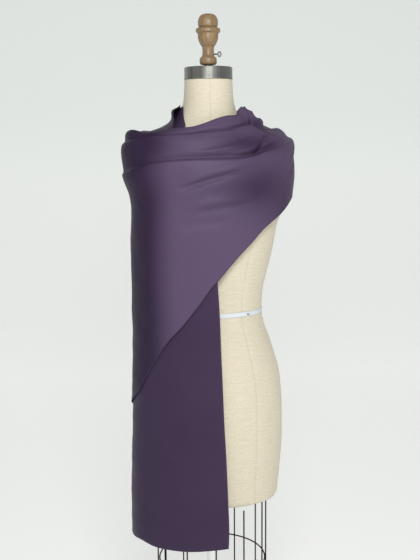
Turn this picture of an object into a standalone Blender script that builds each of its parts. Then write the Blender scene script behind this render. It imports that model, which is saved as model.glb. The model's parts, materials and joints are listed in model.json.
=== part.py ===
"""Evening stole draped on a limbless dress form with a neck cap, finial, waist tape and wire cage.

Metres, +Z up. The origin is on the floor under the pole, and the form faces -Y.
The stole is one long strip. Its course is followed by an angle that starts at end B on the
right back, runs across the chest and the left shoulder, round the back, and ends with end A
hanging at the right front, one turn further. 0 degrees is the front and 90 the left side.
"""

import bisect
import functools
import math

import bmesh
import bpy
from mathutils import Matrix, Vector

# Base, pole and cage
BASE_RADIUS = 0.225
BASE_THICKNESS = 0.007
BASE_BEVEL = 0.003
HUB_RADIUS = 0.030
HUB_HEIGHT = 0.028
HUB_FLARE = 0.004
POLE_RADIUS = 0.0125
CAGE_RADIUS = 0.126
CAGE_WIRES = 12
WIRE_RADIUS = 0.0016
CAGE_RING_SIDES = 5
CAGE_RING_STEPS = 36
CAGE_RING_HEIGHTS = {"cage_ring_upper": 0.464, "cage_ring_lower": 0.300}

# Dress form
TORSO_BOTTOM = 0.619
NECK_RADIUS = 0.0515
CAP_BOTTOM = 1.5535
CAP_TOP = 1.580
CAP_BEVEL = 0.0025
CAP_LIP = 0.0008
TAPE_HEIGHT = 1.0515
TAPE_WIDTH = 0.0104
TAPE_THICKNESS = 0.0010
TAPE_EDGES = (TAPE_HEIGHT - TAPE_WIDTH / 2, TAPE_HEIGHT + TAPE_WIDTH / 2)
FORM_ANGLES = tuple(10.0 * i for i in range(36))
PIN_ANGLE = 41.0
PIN_RADIUS = 0.0016
FINIAL_BOTTOM = 1.585
STEM_RADIUS = 0.0095
STEM_TOP = FINIAL_BOTTOM + 0.034
SCREW_HEIGHT = 1.6075
SCREW_SHAFT_RADIUS = 0.0016
SCREW_HOLE_END = 0.040
SCREW_SIDES = 10
SCREW_LOOP_CENTRE = 0.0240
SCREW_LOOP_WIDTH = 0.0056
SCREW_LOOP_HEIGHT = 0.0100
SCREW_LOOP_WIRE = 0.0011
SCREW_LOOP_STEPS = 16
SCREW_LOOP_SIDES = 6

# Cloth and clearances
WALL = 0.0017
GAP = 0.0003
LAYER_DROP = 0.0036
FRONT_DROP = 0.0070
SIDE_SEAM = 0.020
BACK_SEAM_ANGLE = 205.0
SEAM_OVERLAP = 12.0
WRAP_REACH = 108.0
TAIL_REACH = -96.0
BACK_START = 88.0
PANEL_END = 368.0
CREST_STEP = 1.4
ROW_SPREAD = 1.5

# Steps for reading the drape: the shoulders' height, steps over them and below, normals
SHOULDER_DROP = 0.090
FINE_STEPS = 60
NORMAL_STEP = 0.001
NORMAL_ANGLE = 0.5

# The form's level sections: height, half width, reach to the front and back, squareness
TORSO_SECTIONS = (
    (0.619, 0.1380, 0.094, 0.101, 2.3),
    (0.6215, 0.1455, 0.101, 0.108, 2.3),
    (0.630, 0.1500, 0.105, 0.112, 2.3),
    (0.655, 0.1530, 0.107, 0.117, 2.2),
    (0.720, 0.1590, 0.109, 0.124, 2.2),
    (0.770, 0.1615, 0.110, 0.130, 2.2),
    (0.840, 0.1606, 0.112, 0.133, 2.2),
    (0.890, 0.1570, 0.112, 0.129, 2.2),
    (0.920, 0.1524, 0.110, 0.122, 2.15),
    (0.9525, 0.1433, 0.107, 0.112, 2.1),
    (0.994, 0.1300, 0.099, 0.096, 2.05),
    (1.021, 0.1200, 0.0925, 0.0865, 2.0),
    (1.050, 0.1148, 0.089, 0.083, 2.0),
    (1.0895, 0.1165, 0.090, 0.083, 2.0),
    (1.124, 0.1230, 0.095, 0.085, 2.05),
    (1.170, 0.1345, 0.104, 0.092, 2.1),
    (1.204, 0.1415, 0.114, 0.098, 2.15),
    (1.241, 0.1475, 0.124, 0.103, 2.2),
    (1.266, 0.1560, 0.125, 0.107, 2.25),
    (1.300, 0.1640, 0.120, 0.111, 2.3),
    (1.345, 0.1715, 0.108, 0.113, 2.3),
    (1.385, 0.1720, 0.096, 0.110, 2.3),
    (1.405, 0.1690, 0.090, 0.106, 2.2),
    (1.420, 0.1600, 0.085, 0.100, 2.1),
    (1.432, 0.1500, 0.080, 0.093, 2.05),
    (1.442, 0.1325, 0.076, 0.086, 2.0),
    (1.452, 0.1000, 0.071, 0.078, 2.0),
    (1.464, 0.0775, 0.065, 0.068, 2.0),
    (1.480, 0.0640, 0.059, 0.060, 2.0),
    (1.500, 0.0560, 0.0545, 0.0545, 2.0),
    (1.525, 0.0528, 0.0528, 0.0528, 2.0),
    (1.5532, 0.0515, 0.0515, 0.0515, 2.0),
)

# The hung cloth's level sections, from the neck down: height, reach to the right, left,
# front and back, squareness
DRAPE_SECTIONS = (
    (1.5060, 0.0610, 0.0640, 0.0700, 0.0740, 2.0),
    (1.4850, 0.0760, 0.0820, 0.0800, 0.0860, 2.0),
    (1.4700, 0.0860, 0.0980, 0.0880, 0.0950, 2.0),
    (1.4600, 0.1000, 0.1110, 0.0940, 0.1020, 2.0),
    (1.4500, 0.1270, 0.1210, 0.1000, 0.1100, 2.0),
    (1.4445, 0.1520, 0.1420, 0.1035, 0.1140, 2.0),
    (1.4380, 0.1720, 0.1640, 0.1070, 0.1180, 2.1),
    (1.4250, 0.1800, 0.1740, 0.1140, 0.1260, 2.2),
    (1.4050, 0.1860, 0.1785, 0.1215, 0.1330, 2.3),
    (1.3850, 0.1880, 0.1825, 0.1270, 0.1370, 2.3),
    (1.3550, 0.1860, 0.1860, 0.1325, 0.1400, 2.3),
    (1.3100, 0.1750, 0.1825, 0.1360, 0.1400, 2.3),
    (1.2700, 0.1720, 0.1740, 0.1360, 0.1390, 2.35),
    (1.2000, 0.1745, 0.1640, 0.1340, 0.1390, 2.4),
    (1.1000, 0.1745, 0.1600, 0.1310, 0.1420, 2.4),
    (1.0000, 0.1745, 0.1600, 0.1310, 0.1460, 2.35),
    (0.9000, 0.1775, 0.1660, 0.1330, 0.1500, 2.3),
    (0.8000, 0.1825, 0.1680, 0.1350, 0.1500, 2.25),
    (0.6000, 0.1885, 0.1700, 0.1385, 0.1500, 2.2),
    (0.5000, 0.1890, 0.1700, 0.1385, 0.1500, 2.2),
)

# The strip's two long edges by angle along its course: angle, height
NECK_EDGE = (
    (-150.0, 1.4440),
    (-90.0, 1.4470),
    (-60.0, 1.4450),
    (-39.0, 1.4510),
    (-22.0, 1.4535),
    (-12.0, 1.4590),
    (0.0, 1.4665),
    (12.0, 1.4730),
    (24.0, 1.4765),
    (35.0, 1.4770),
    (44.0, 1.4860),
    (60.0, 1.4930),
    (90.0, 1.4915),
    (140.0, 1.4880),
    (180.0, 1.4920),
    (220.0, 1.4940),
    (255.0, 1.4990),
    (273.0, 1.5030),
    (282.0, 1.4900),
    (291.0, 1.4720),
    (300.0, 1.4610),
    (310.0, 1.4560),
    (322.0, 1.4500),
    (336.0, 1.4250),
    (350.0, 1.3200),
    (368.0, 1.1600),
)
OUTER_EDGE = (
    (-150.0, 0.7900),
    (-130.0, 0.8000),
    (-110.0, 0.8180),
    (-90.0, 0.8420),
    (-75.0, 0.8640),
    (-65.0, 0.8830),
    (-51.0, 0.9310),
    (-41.0, 0.9660),
    (-31.0, 1.0020),
    (-19.0, 1.0380),
    (-6.0, 1.0910),
    (2.0, 1.1370),
    (14.0, 1.1835),
    (24.0, 1.2120),
    (37.0, 1.2450),
    (57.0, 1.2735),
    (76.0, 1.2990),
    (100.0, 1.3080),
    (120.0, 1.2700),
    (140.0, 1.2180),
    (160.0, 1.1650),
    (180.0, 1.1000),
    (195.0, 1.0200),
    (205.0, 0.9300),
)
# End B's hem on the right back, and end A's free side at the front: height, angle
END_B_HEM = ((0.79, -132.0), (1.10, -140.0), (1.45, -150.0))
END_A_SIDE = (
    (0.53, 367.8),
    (0.583, 368.4),
    (0.657, 367.6),
    (0.73, 366.7),
    (0.836, 365.0),
    (0.949, 363.7),
    (1.052, 362.6),
    (1.134, 361.4),
    (1.25, 360.0),
)
END_A_HEM = (
    (205.0, 0.5350),
    (280.0, 0.5380),
    (300.0, 0.5425),
    (318.0, 0.5370),
    (340.0, 0.5350),
    (368.0, 0.5405),
)

# The strip's folded inner edge, close to the right of the neck: angle, top, foot
NECK_FOLD = (
    (-112.0, 1.4840, 1.4740),
    (-100.0, 1.4885, 1.4640),
    (-86.0, 1.4920, 1.4540),
    (-75.0, 1.4975, 1.4510),
    (-67.0, 1.4930, 1.4490),
    (-57.0, 1.4800, 1.4480),
    (-45.0, 1.4670, 1.4475),
    (-34.0, 1.4560, 1.4470),
)
NECK_FOLD_STANDOFF = 0.0020

# Folds along the strip: name, width above and below the crest, then angle, height, lift
FOLDS = {
    "shoulder roll": (
        0.010,
        0.014,
        ((-150.0, 1.438, 0.003), (-90.0, 1.439, 0.009), (-72.0, 1.439, 0.010), (-58.0, 1.440, 0.002),
         (-40.0, 1.444, 0.0)),
    ),
    "upper cowl": (
        0.006,
        0.030,
        (
            (-150.0, 1.405, 0.0),
            (-110.0, 1.412, 0.004),
            (-73.0, 1.418, 0.006),
            (-51.0, 1.426, 0.008),
            (-41.0, 1.4285, 0.008),
            (-16.0, 1.433, 0.008),
            (0.0, 1.438, 0.008),
            (13.0, 1.4405, 0.007),
            (26.0, 1.4465, 0.006),
            (51.0, 1.456, 0.006),
            (70.0, 1.462, 0.006),
            (90.0, 1.464, 0.003),
            (130.0, 1.460, 0.003),
            (170.0, 1.455, 0.0),
        ),
    ),
    "lower cowl": (
        0.007,
        0.040,
        (
            (-150.0, 1.330, 0.0),
            (-110.0, 1.345, 0.004),
            (-77.0, 1.355, 0.005),
            (-55.0, 1.366, 0.009),
            (-41.0, 1.374, 0.009),
            (-31.0, 1.3785, 0.009),
            (-14.0, 1.383, 0.008),
            (0.0, 1.384, 0.008),
            (13.0, 1.384, 0.009),
            (21.0, 1.387, 0.010),
            (31.0, 1.3955, 0.010),
            (44.0, 1.404, 0.010),
            (67.0, 1.417, 0.008),
            (90.0, 1.424, 0.005),
            (130.0, 1.420, 0.003),
            (160.0, 1.410, 0.0),
        ),
    ),
    "neck gather": (
        0.006,
        0.008,
        ((36.0, 1.470, 0.0), (60.0, 1.478, 0.003), (90.0, 1.480, 0.004), (130.0, 1.476, 0.003),
         (180.0, 1.472, 0.003), (230.0, 1.474, 0.002), (260.0, 1.474, 0.0)),
    ),
    "back fold": (
        0.010,
        0.050,
        ((96.0, 1.370, 0.0), (115.0, 1.350, 0.005), (145.0, 1.315, 0.007), (175.0, 1.280, 0.005),
         (202.0, 1.240, 0.0)),
    ),
    "lower back fold": (
        0.012,
        0.050,
        ((108.0, 1.310, 0.0), (130.0, 1.270, 0.005), (160.0, 1.215, 0.006), (185.0, 1.150, 0.004),
         (203.0, 1.090, 0.0)),
    ),
}

# Folds down the strip: name, half width in degrees, then height, angle, lift
FALLS = {
    "side break": (
        15.0,
        ((0.980, -40.0, 0.0), (1.020, -40.0, 0.002), (1.100, -40.0, 0.004), (1.270, -40.0, 0.003),
         (1.330, -38.0, 0.0)),
    ),
}

# The finial's turned outline, from the underside up: radius, height over its foot
FINIAL_OUTLINE = (
    (0.0150, 0.0000),
    (0.0178, 0.0025),
    (0.0185, 0.0085),
    (0.0178, 0.0140),
    (0.0143, 0.0175),
    (0.0126, 0.0215),
    (0.0124, 0.0300),
    (0.0130, 0.0370),
    (0.0160, 0.0415),
    (0.0195, 0.0485),
    (0.0217, 0.0560),
    (0.0222, 0.0655),
    (0.0248, 0.0672),
    (0.0262, 0.0695),
    (0.0262, 0.0730),
    (0.0245, 0.0765),
    (0.0208, 0.0795),
    (0.0216, 0.0830),
    (0.0218, 0.0900),
    (0.0203, 0.0970),
    (0.0170, 0.1020),
    (0.0110, 0.1055),
    (0.0000, 0.1067),
)

MATERIALS = {
    "purple satin": ("4d3f58", 0.38, 0.0),
    "linen": ("ddd7c1", 0.85, 0.0),
    "brushed steel": ("9a9c97", 0.38, 1.0),
    "turned wood": ("a98f6a", 0.45, 0.0),
    "white cotton tape": ("e3e7ec", 0.80, 0.0),
    "black wire": ("1c1b1d", 0.45, 0.6),
    "black pin": ("17161a", 0.30, 0.0),
    "dark steel": ("3a3b3d", 0.50, 0.8),
    "chromed steel": ("dcdedd", 0.15, 1.0),
}


def clear_scene():
    for obj in list(bpy.data.objects):
        bpy.data.objects.remove(obj, do_unlink=True)


def linear(value):
    return value / 12.92 if value <= 0.04045 else ((value + 0.055) / 1.055) ** 2.4


def material(name):
    """The named material, made once from its hex colour, roughness and metallic value."""
    if name in bpy.data.materials:
        return bpy.data.materials[name]
    colour, roughness, metallic = MATERIALS[name]
    channels = [linear(int(colour[i : i + 2], 16) / 255.0) for i in (0, 2, 4)]
    made = bpy.data.materials.new(name)
    made.use_nodes = True
    shader = made.node_tree.nodes["Principled BSDF"]
    shader.inputs["Base Color"].default_value = (*channels, 1.0)
    shader.inputs["Roughness"].default_value = roughness
    shader.inputs["Metallic"].default_value = metallic
    made.diffuse_color = (*channels, 1.0)
    return made


def finish_object(name, bm, material_name, sharp_angle=40.0):
    """Turns a bmesh into a named object with smooth shading and one material."""
    mesh = bpy.data.meshes.new(name)
    bmesh.ops.recalc_face_normals(bm, faces=bm.faces)
    bm.to_mesh(mesh)
    bm.free()
    mesh.shade_smooth()
    mesh.set_sharp_from_angle(angle=math.radians(sharp_angle))
    mesh.materials.append(material(material_name))
    obj = bpy.data.objects.new(name, mesh)
    bpy.context.scene.collection.objects.link(obj)
    return obj


def slope_at(rows, column, index):
    """The slope of a column at a row, flat where the column turns, so no value overshoots."""
    if index == 0 or index == len(rows) - 1:
        near, far = (0, 1) if index == 0 else (-2, -1)
        return (rows[far][column] - rows[near][column]) / (rows[far][0] - rows[near][0])
    before = (rows[index][column] - rows[index - 1][column]) / (rows[index][0] - rows[index - 1][0])
    after = (rows[index + 1][column] - rows[index][column]) / (rows[index + 1][0] - rows[index][0])
    return 0.0 if before * after <= 0.0 else 2.0 * before * after / (before + after)


def read_row(rows, key, column=1):
    """A smooth curve through one column of a table, read at a value of its first column."""
    key = min(max(key, rows[0][0]), rows[-1][0])
    index = 0
    while index < len(rows) - 2 and rows[index + 1][0] < key:
        index += 1
    span = rows[index + 1][0] - rows[index][0]
    t = (key - rows[index][0]) / span
    start = rows[index][column]
    end = rows[index + 1][column]
    leave = slope_at(rows, column, index) * span
    arrive = slope_at(rows, column, index + 1) * span
    return (
        (2 * t**3 - 3 * t**2 + 1) * start
        + (t**3 - 2 * t**2 + t) * leave
        + (3 * t**2 - 2 * t**3) * end
        + (t**3 - t**2) * arrive
    )


def signed_power(value, power):
    return math.copysign(abs(value) ** power, value)


def torso_point(height, angle, outward=0.0):
    """A point of the form's skin, moved outward by a distance."""
    rows = TORSO_SECTIONS
    half_width = read_row(rows, height, 1) + outward
    front = read_row(rows, height, 2) + outward
    back = read_row(rows, height, 3) + outward
    power = 2.0 / read_row(rows, height, 4)
    sine = math.sin(math.radians(angle))
    cosine = math.cos(math.radians(angle))
    x = signed_power(sine, power) * half_width
    y = -signed_power(cosine, power) * (front if cosine > 0 else back)
    return Vector((x, y, height))


DRAPE_BY_HEIGHT = tuple(reversed(DRAPE_SECTIONS))


def drape_point(angle, height):
    """A point of the smooth shape that the cloth hangs in, before its folds."""
    rows = DRAPE_BY_HEIGHT
    sine = math.sin(math.radians(angle))
    cosine = math.cos(math.radians(angle))
    side = read_row(rows, height, 2 if sine >= 0 else 1)
    depth = read_row(rows, height, 3 if cosine >= 0 else 4)
    power = 2.0 / read_row(rows, height, 5)
    return Vector((signed_power(sine, power) * side, -signed_power(cosine, power) * depth, height))


@functools.lru_cache(maxsize=None)
def run_down(angle):
    """Heights down the drape at one angle, each with its distance from the neck along the cloth."""
    top = DRAPE_SECTIONS[0][0]
    bottom = DRAPE_SECTIONS[-1][0]
    heights = [top - SHOULDER_DROP * i / FINE_STEPS for i in range(FINE_STEPS)]
    rest = top - SHOULDER_DROP - bottom
    heights += [top - SHOULDER_DROP - rest * i / FINE_STEPS for i in range(FINE_STEPS + 1)]
    rows = []
    distance = 0.0
    before = None
    for height in heights:
        point = drape_point(angle, height)
        if before is not None:
            distance += (point - before).length
        rows.append((distance, height))
        before = point
    return tuple(rows)


def height_at(angle, distance):
    """The height of the drape at a distance from the neck."""
    rows = run_down(angle)
    distance = min(max(distance, 0.0), rows[-1][0])
    index = min(bisect.bisect_left(rows, (distance, -math.inf)), len(rows) - 1)
    low, high = rows[max(index - 1, 0)], rows[max(index, 1)]
    return low[1] + (high[1] - low[1]) * (distance - low[0]) / (high[0] - low[0])


def distance_at(angle, height):
    """The distance from the neck down to a height of the drape."""
    rows = run_down(angle)
    height = min(max(height, rows[-1][1]), rows[0][1])
    index = min(bisect.bisect_left(rows, -height, key=lambda row: -row[1]), len(rows) - 1)
    low, high = rows[max(index - 1, 0)], rows[max(index, 1)]
    return low[0] + (high[0] - low[0]) * (height - low[1]) / (high[1] - low[1])


def fold_lift(angle, height):
    """How far the folds raise the cloth over its smooth shape at one place of the strip."""
    lift = 0.0
    distance = distance_at(angle, height)
    for above, below, rows in FOLDS.values():
        if rows[0][0] < angle < rows[-1][0]:
            away = distance - distance_at(angle, read_row(rows, angle, 1))
            width = below if away > 0 else above
            lift += read_row(rows, angle, 2) * math.exp(-((away / width) ** 2))
    for half_width, rows in FALLS.values():
        if rows[0][0] < height < rows[-1][0]:
            away = angle - read_row(rows, height, 1)
            lift += read_row(rows, height, 2) * math.exp(-((away / half_width) ** 2))
    return lift


def ease(value, start, end):
    """Rises smoothly from 0 at start to 1 at end."""
    t = min(max((value - start) / (end - start), 0.0), 1.0)
    return t * t * (3.0 - 2.0 * t)


def layer_offset(angle):
    """How far below the outermost layer the strip lies: end A runs under everything."""
    deeper = (FRONT_DROP - LAYER_DROP) * ease(angle, 300.0, 340.0)
    return -ease(angle, 150.0, 210.0) * (LAYER_DROP + deeper)


def facing(surface, angle, height):
    """The outward direction of a surface that gives a point for an angle and a height."""
    distance = distance_at(angle, height)
    lower = height_at(angle, distance + NORMAL_STEP)
    upper = height_at(angle, max(distance - NORMAL_STEP, 0.0))
    around = surface(angle + NORMAL_ANGLE, height) - surface(angle - NORMAL_ANGLE, height)
    upward = surface(angle, upper) - surface(angle, lower)
    return around.cross(upward).normalized()


def stole_point(angle, height):
    """A point of the strip's outer face."""
    raised = layer_offset(angle) + fold_lift(angle, height)
    return drape_point(angle, height) + raised * facing(drape_point, angle, height)


def cloth_wall(columns, rows, place, surface=stole_point, direction=facing):
    """A wall of cloth, where place gives the angle and height of each column and row."""
    bm = bmesh.new()
    spots = [[place(i / columns, j, rows) for j in range(rows + 1)] for i in range(columns + 1)]
    skins = []
    for depth in (0.0, WALL):
        skin = []
        for line in spots:
            skin.append([bm.verts.new(surface(*at) - depth * direction(surface, *at)) for at in line])
        skins.append(skin)
    outer, inner = skins
    for i in range(columns):
        for j in range(rows):
            corners = ((i, j), (i, j + 1), (i + 1, j + 1), (i + 1, j))
            for picked in ((0, 1, 2), (0, 2, 3)):
                bm.faces.new([outer[corners[k][0]][corners[k][1]] for k in picked])
                bm.faces.new([inner[corners[k][0]][corners[k][1]] for k in reversed(picked)])
    rim = [(i, 0) for i in range(columns)]
    rim += [(columns, j) for j in range(rows)]
    rim += [(i, rows) for i in range(columns, 0, -1)]
    rim += [(0, j) for j in range(rows, 0, -1)]
    for (i, j), (k, m) in zip(rim, rim[1:] + rim[:1]):
        bm.faces.new((outer[i][j], outer[k][m], inner[k][m], inner[i][j]))
    bmesh.ops.recalc_face_normals(bm, faces=bm.faces)
    return bm


def seam_direction(angle):
    """The level direction, towards rising angles, that a seam through the axis is square to."""
    return Vector((math.cos(math.radians(angle)), math.sin(math.radians(angle)), 0.0))


def trim(bm, point, direction):
    """Cuts off what lies beyond a plane, and closes the cut."""
    bmesh.ops.bisect_plane(
        bm,
        geom=bm.verts[:] + bm.edges[:] + bm.faces[:],
        plane_co=point,
        plane_no=direction,
        clear_outer=True,
        dist=1e-7,
    )
    bmesh.ops.holes_fill(bm, edges=[edge for edge in bm.edges if edge.is_boundary], sides=0)


def row_height(angle, lower_edge, share):
    """The height of a row at a share of the cloth's width: rows are closest near the neck edge."""
    top = distance_at(angle, read_row(NECK_EDGE, angle))
    bottom = distance_at(angle, read_row(lower_edge, angle))
    return height_at(angle, top + (bottom - top) * share**ROW_SPREAD)


def wrap_place(u, j, rows):
    """Places of the front wrap, with rows that follow the crests of its two cowl folds."""
    angle = -WRAP_REACH + 2 * WRAP_REACH * u
    stops = [(0, distance_at(angle, read_row(NECK_EDGE, angle)))]
    for name, row in (("upper cowl", 5), ("lower cowl", 11)):
        above, _below, crest = FOLDS[name]
        distance = distance_at(angle, read_row(crest, angle))
        stops += [(row - 1, distance - CREST_STEP * above), (row, distance)]
    stops.append((rows, distance_at(angle, read_row(OUTER_EDGE, angle))))
    for (low, near), (high, far) in zip(stops, stops[1:]):
        if j <= high:
            return angle, height_at(angle, near + (far - near) * (j - low) / (high - low))
    raise ValueError("a row lies past the outer edge")


def make_front_wrap():
    """The stretch across the chest, from the right side to the left."""
    bm = cloth_wall(42, 27, wrap_place)
    trim(bm, (0, SIDE_SEAM, 0), (0, 1, 0))
    return finish_object("front_wrap", bm, "purple satin", 60.0)


def make_tail():
    """End B, on the right back: its hem slants from the low corner to the shoulder."""

    def place(u, j, rows):
        angle = END_B_HEM[0][1] * (1.0 - u) + TAIL_REACH * u
        height = row_height(angle, OUTER_EDGE, j / rows)
        return read_row(END_B_HEM, height) * (1.0 - u) + TAIL_REACH * u, height

    bm = cloth_wall(9, 18, place)
    trim(bm, (0, SIDE_SEAM + GAP, 0), (0, -1, 0))
    return finish_object("tail", bm, "purple satin", 60.0)


def make_back_wrap():
    """The stretch from the left side round the back, with the collar behind the neck."""
    end = BACK_SEAM_ANGLE + SEAM_OVERLAP

    def place(u, j, rows):
        angle = BACK_START + (end - BACK_START) * u
        return angle, row_height(angle, OUTER_EDGE, j / rows)

    bm = cloth_wall(22, 17, place)
    trim(bm, (0, SIDE_SEAM + GAP, 0), (0, -1, 0))
    across = seam_direction(BACK_SEAM_ANGLE)
    trim(bm, -GAP / 2 * across, across)
    return finish_object("back_wrap", bm, "purple satin", 60.0)


def make_front_panel():
    """End A: from the hem at the right front up to the shoulder, under the wrap."""
    start = BACK_SEAM_ANGLE - SEAM_OVERLAP

    def place(u, j, rows):
        height = row_height(start + (PANEL_END - start) * u, END_A_HEM, j / rows)
        return start + (read_row(END_A_SIDE, height) - start) * u, height

    bm = cloth_wall(30, 20, place)
    across = seam_direction(BACK_SEAM_ANGLE)
    trim(bm, GAP / 2 * across, -across)
    return finish_object("front_panel", bm, "purple satin", 60.0)


def make_neck_fold():
    """The strip's inner edge, folded in against the right of the neck."""

    def place(u, j, rows):
        angle = NECK_FOLD[0][0] * (1.0 - u) + NECK_FOLD[-1][0] * u
        top = read_row(NECK_FOLD, angle, 1)
        return angle, top + (read_row(NECK_FOLD, angle, 2) - top) * j / rows

    def skin(angle, height):
        return torso_point(height, angle, NECK_FOLD_STANDOFF + WALL)

    def level(_surface, angle, _height):
        return Vector((math.sin(math.radians(angle)), -math.cos(math.radians(angle)), 0.0))

    return finish_object("neck_fold", cloth_wall(12, 5, place, skin, level), "purple satin", 60.0)


def spin_full_turn(bm, outline, steps):
    """Spins an outline once round the Z axis and closes the seam."""
    bmesh.ops.spin(
        bm,
        geom=outline,
        cent=(0, 0, 0),
        axis=(0, 0, 1),
        angle=math.tau,
        steps=steps,
        use_merge=True,
    )
    bmesh.ops.remove_doubles(bm, verts=bm.verts, dist=0.00001)


def turned(name, outline, segments, material_name, sharp_angle=35.0):
    """A round piece spun from its outline: radius and height from the bottom axis to the top."""
    bm = bmesh.new()
    chain = [bm.verts.new((radius, 0.0, height)) for radius, height in outline]
    edges = [bm.edges.new(pair) for pair in zip(chain, chain[1:])]
    spin_full_turn(bm, chain + edges, segments)
    return finish_object(name, bm, material_name, sharp_angle)


def make_base():
    low = BASE_THICKNESS
    outline = (
        (0.0, 0.0),
        (BASE_RADIUS - BASE_BEVEL / 3, 0.0),
        (BASE_RADIUS, BASE_BEVEL / 3),
        (BASE_RADIUS, low - BASE_BEVEL),
        (BASE_RADIUS - BASE_BEVEL, low),
        (HUB_RADIUS + HUB_FLARE, low + HUB_FLARE / 2),
        (HUB_RADIUS, low + 2 * HUB_FLARE),
        (HUB_RADIUS - HUB_FLARE / 2, HUB_HEIGHT),
        (0.0, HUB_HEIGHT),
    )
    return turned("base", outline, 48, "dark steel")


def make_pole():
    outline = (
        (0.0, HUB_HEIGHT + GAP),
        (POLE_RADIUS, HUB_HEIGHT + GAP),
        (POLE_RADIUS, TORSO_BOTTOM - GAP),
        (0.0, TORSO_BOTTOM - GAP),
    )
    return turned("pole", outline, 20, "chromed steel")


def make_cage():
    """Upright wires under the form, tied by rings that pass just inside them."""
    lowest = min(CAGE_RING_HEIGHTS.values()) - 2 * WIRE_RADIUS
    for index in range(CAGE_WIRES):
        angle = math.tau * index / CAGE_WIRES
        bm = bmesh.new()
        length = TORSO_BOTTOM - GAP - lowest
        bmesh.ops.create_cone(
            bm, cap_ends=True, segments=8, radius1=WIRE_RADIUS, radius2=WIRE_RADIUS, depth=length
        )
        wire = finish_object(f"cage_wire_{index + 1:02d}", bm, "black wire")
        wire.location = (
            CAGE_RADIUS * math.sin(angle),
            -CAGE_RADIUS * math.cos(angle),
            lowest + length / 2,
        )
    ring_radius = CAGE_RADIUS - 2 * WIRE_RADIUS - GAP
    for name, height in CAGE_RING_HEIGHTS.items():
        bm = bmesh.new()
        circle = []
        for i in range(CAGE_RING_SIDES):
            turn = math.tau * i / CAGE_RING_SIDES
            across = ring_radius + WIRE_RADIUS * math.cos(turn)
            circle.append(bm.verts.new((across, 0.0, height + WIRE_RADIUS * math.sin(turn))))
        edges = [bm.edges.new(pair) for pair in zip(circle, circle[1:] + circle[:1])]
        spin_full_turn(bm, circle + edges, CAGE_RING_STEPS)
        finish_object(name, bm, "black wire")


def ring_stack(name, rings, material_name, sharp_angle=40.0):
    """A closed body through rings of points, from the bottom ring to the top one."""
    bm = bmesh.new()
    loops = [[bm.verts.new(point) for point in ring] for ring in rings]
    count = len(loops[0])
    for lower, upper in zip(loops, loops[1:]):
        for i in range(count):
            j = (i + 1) % count
            bm.faces.new((lower[i], lower[j], upper[j], upper[i]))
    bm.faces.new(list(reversed(loops[0])))
    bm.faces.new(loops[-1])
    return finish_object(name, bm, material_name, sharp_angle)


def make_torso():
    """The linen-covered body, with a ring of points at each section and at the tape's edges."""
    heights = sorted([row[0] for row in TORSO_SECTIONS] + list(TAPE_EDGES))
    rings = [[torso_point(height, angle) for angle in FORM_ANGLES] for height in heights]
    return ring_stack("torso", rings, "linen")


def make_neck_cap():
    outline = (
        (0.0, CAP_BOTTOM),
        (NECK_RADIUS, CAP_BOTTOM),
        (NECK_RADIUS + CAP_LIP, CAP_BOTTOM + CAP_LIP),
        (NECK_RADIUS + CAP_LIP, CAP_TOP - CAP_BEVEL),
        (NECK_RADIUS - CAP_BEVEL, CAP_TOP),
        (0.0, CAP_TOP),
    )
    return turned("neck_cap", outline, 40, "brushed steel")


def make_stem():
    outline = (
        (0.0, CAP_TOP + GAP),
        (STEM_RADIUS, CAP_TOP + GAP),
        (STEM_RADIUS, STEM_TOP),
        (0.0, STEM_TOP),
    )
    return turned("finial_stem", outline, 24, "dark steel")


def rod_along_x(bm, start, end, radius, height):
    """A closed rod parallel to X in a bmesh."""
    middle = Matrix.Translation(((start + end) / 2, 0.0, height))
    bmesh.ops.create_cone(
        bm,
        cap_ends=True,
        segments=SCREW_SIDES,
        radius1=radius,
        radius2=radius,
        depth=end - start,
        matrix=middle @ Matrix.Rotation(math.radians(90.0), 4, "Y"),
    )


def make_finial():
    """Turned wood with a blind bore over the stem, and a side hole for the thumb screw."""
    bore_top = STEM_TOP + GAP
    bore = STEM_RADIUS + GAP
    outline = [(0.0, bore_top), (bore, bore_top), (bore, FINIAL_BOTTOM)]
    outline += [(radius, FINIAL_BOTTOM + rise) for radius, rise in FINIAL_OUTLINE]
    finial = turned("finial", outline, 24, "turned wood", 30.0)
    bm = bmesh.new()
    rod_along_x(bm, STEM_RADIUS / 2, SCREW_HOLE_END, SCREW_SHAFT_RADIUS + GAP, SCREW_HEIGHT)
    hole = finish_object("screw_hole", bm, "turned wood")
    hole.hide_render = True
    hole.display_type = "WIRE"
    cut = finial.modifiers.new("Screw hole", "BOOLEAN")
    cut.object = hole
    cut.operation = "DIFFERENCE"
    return finial


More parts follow.
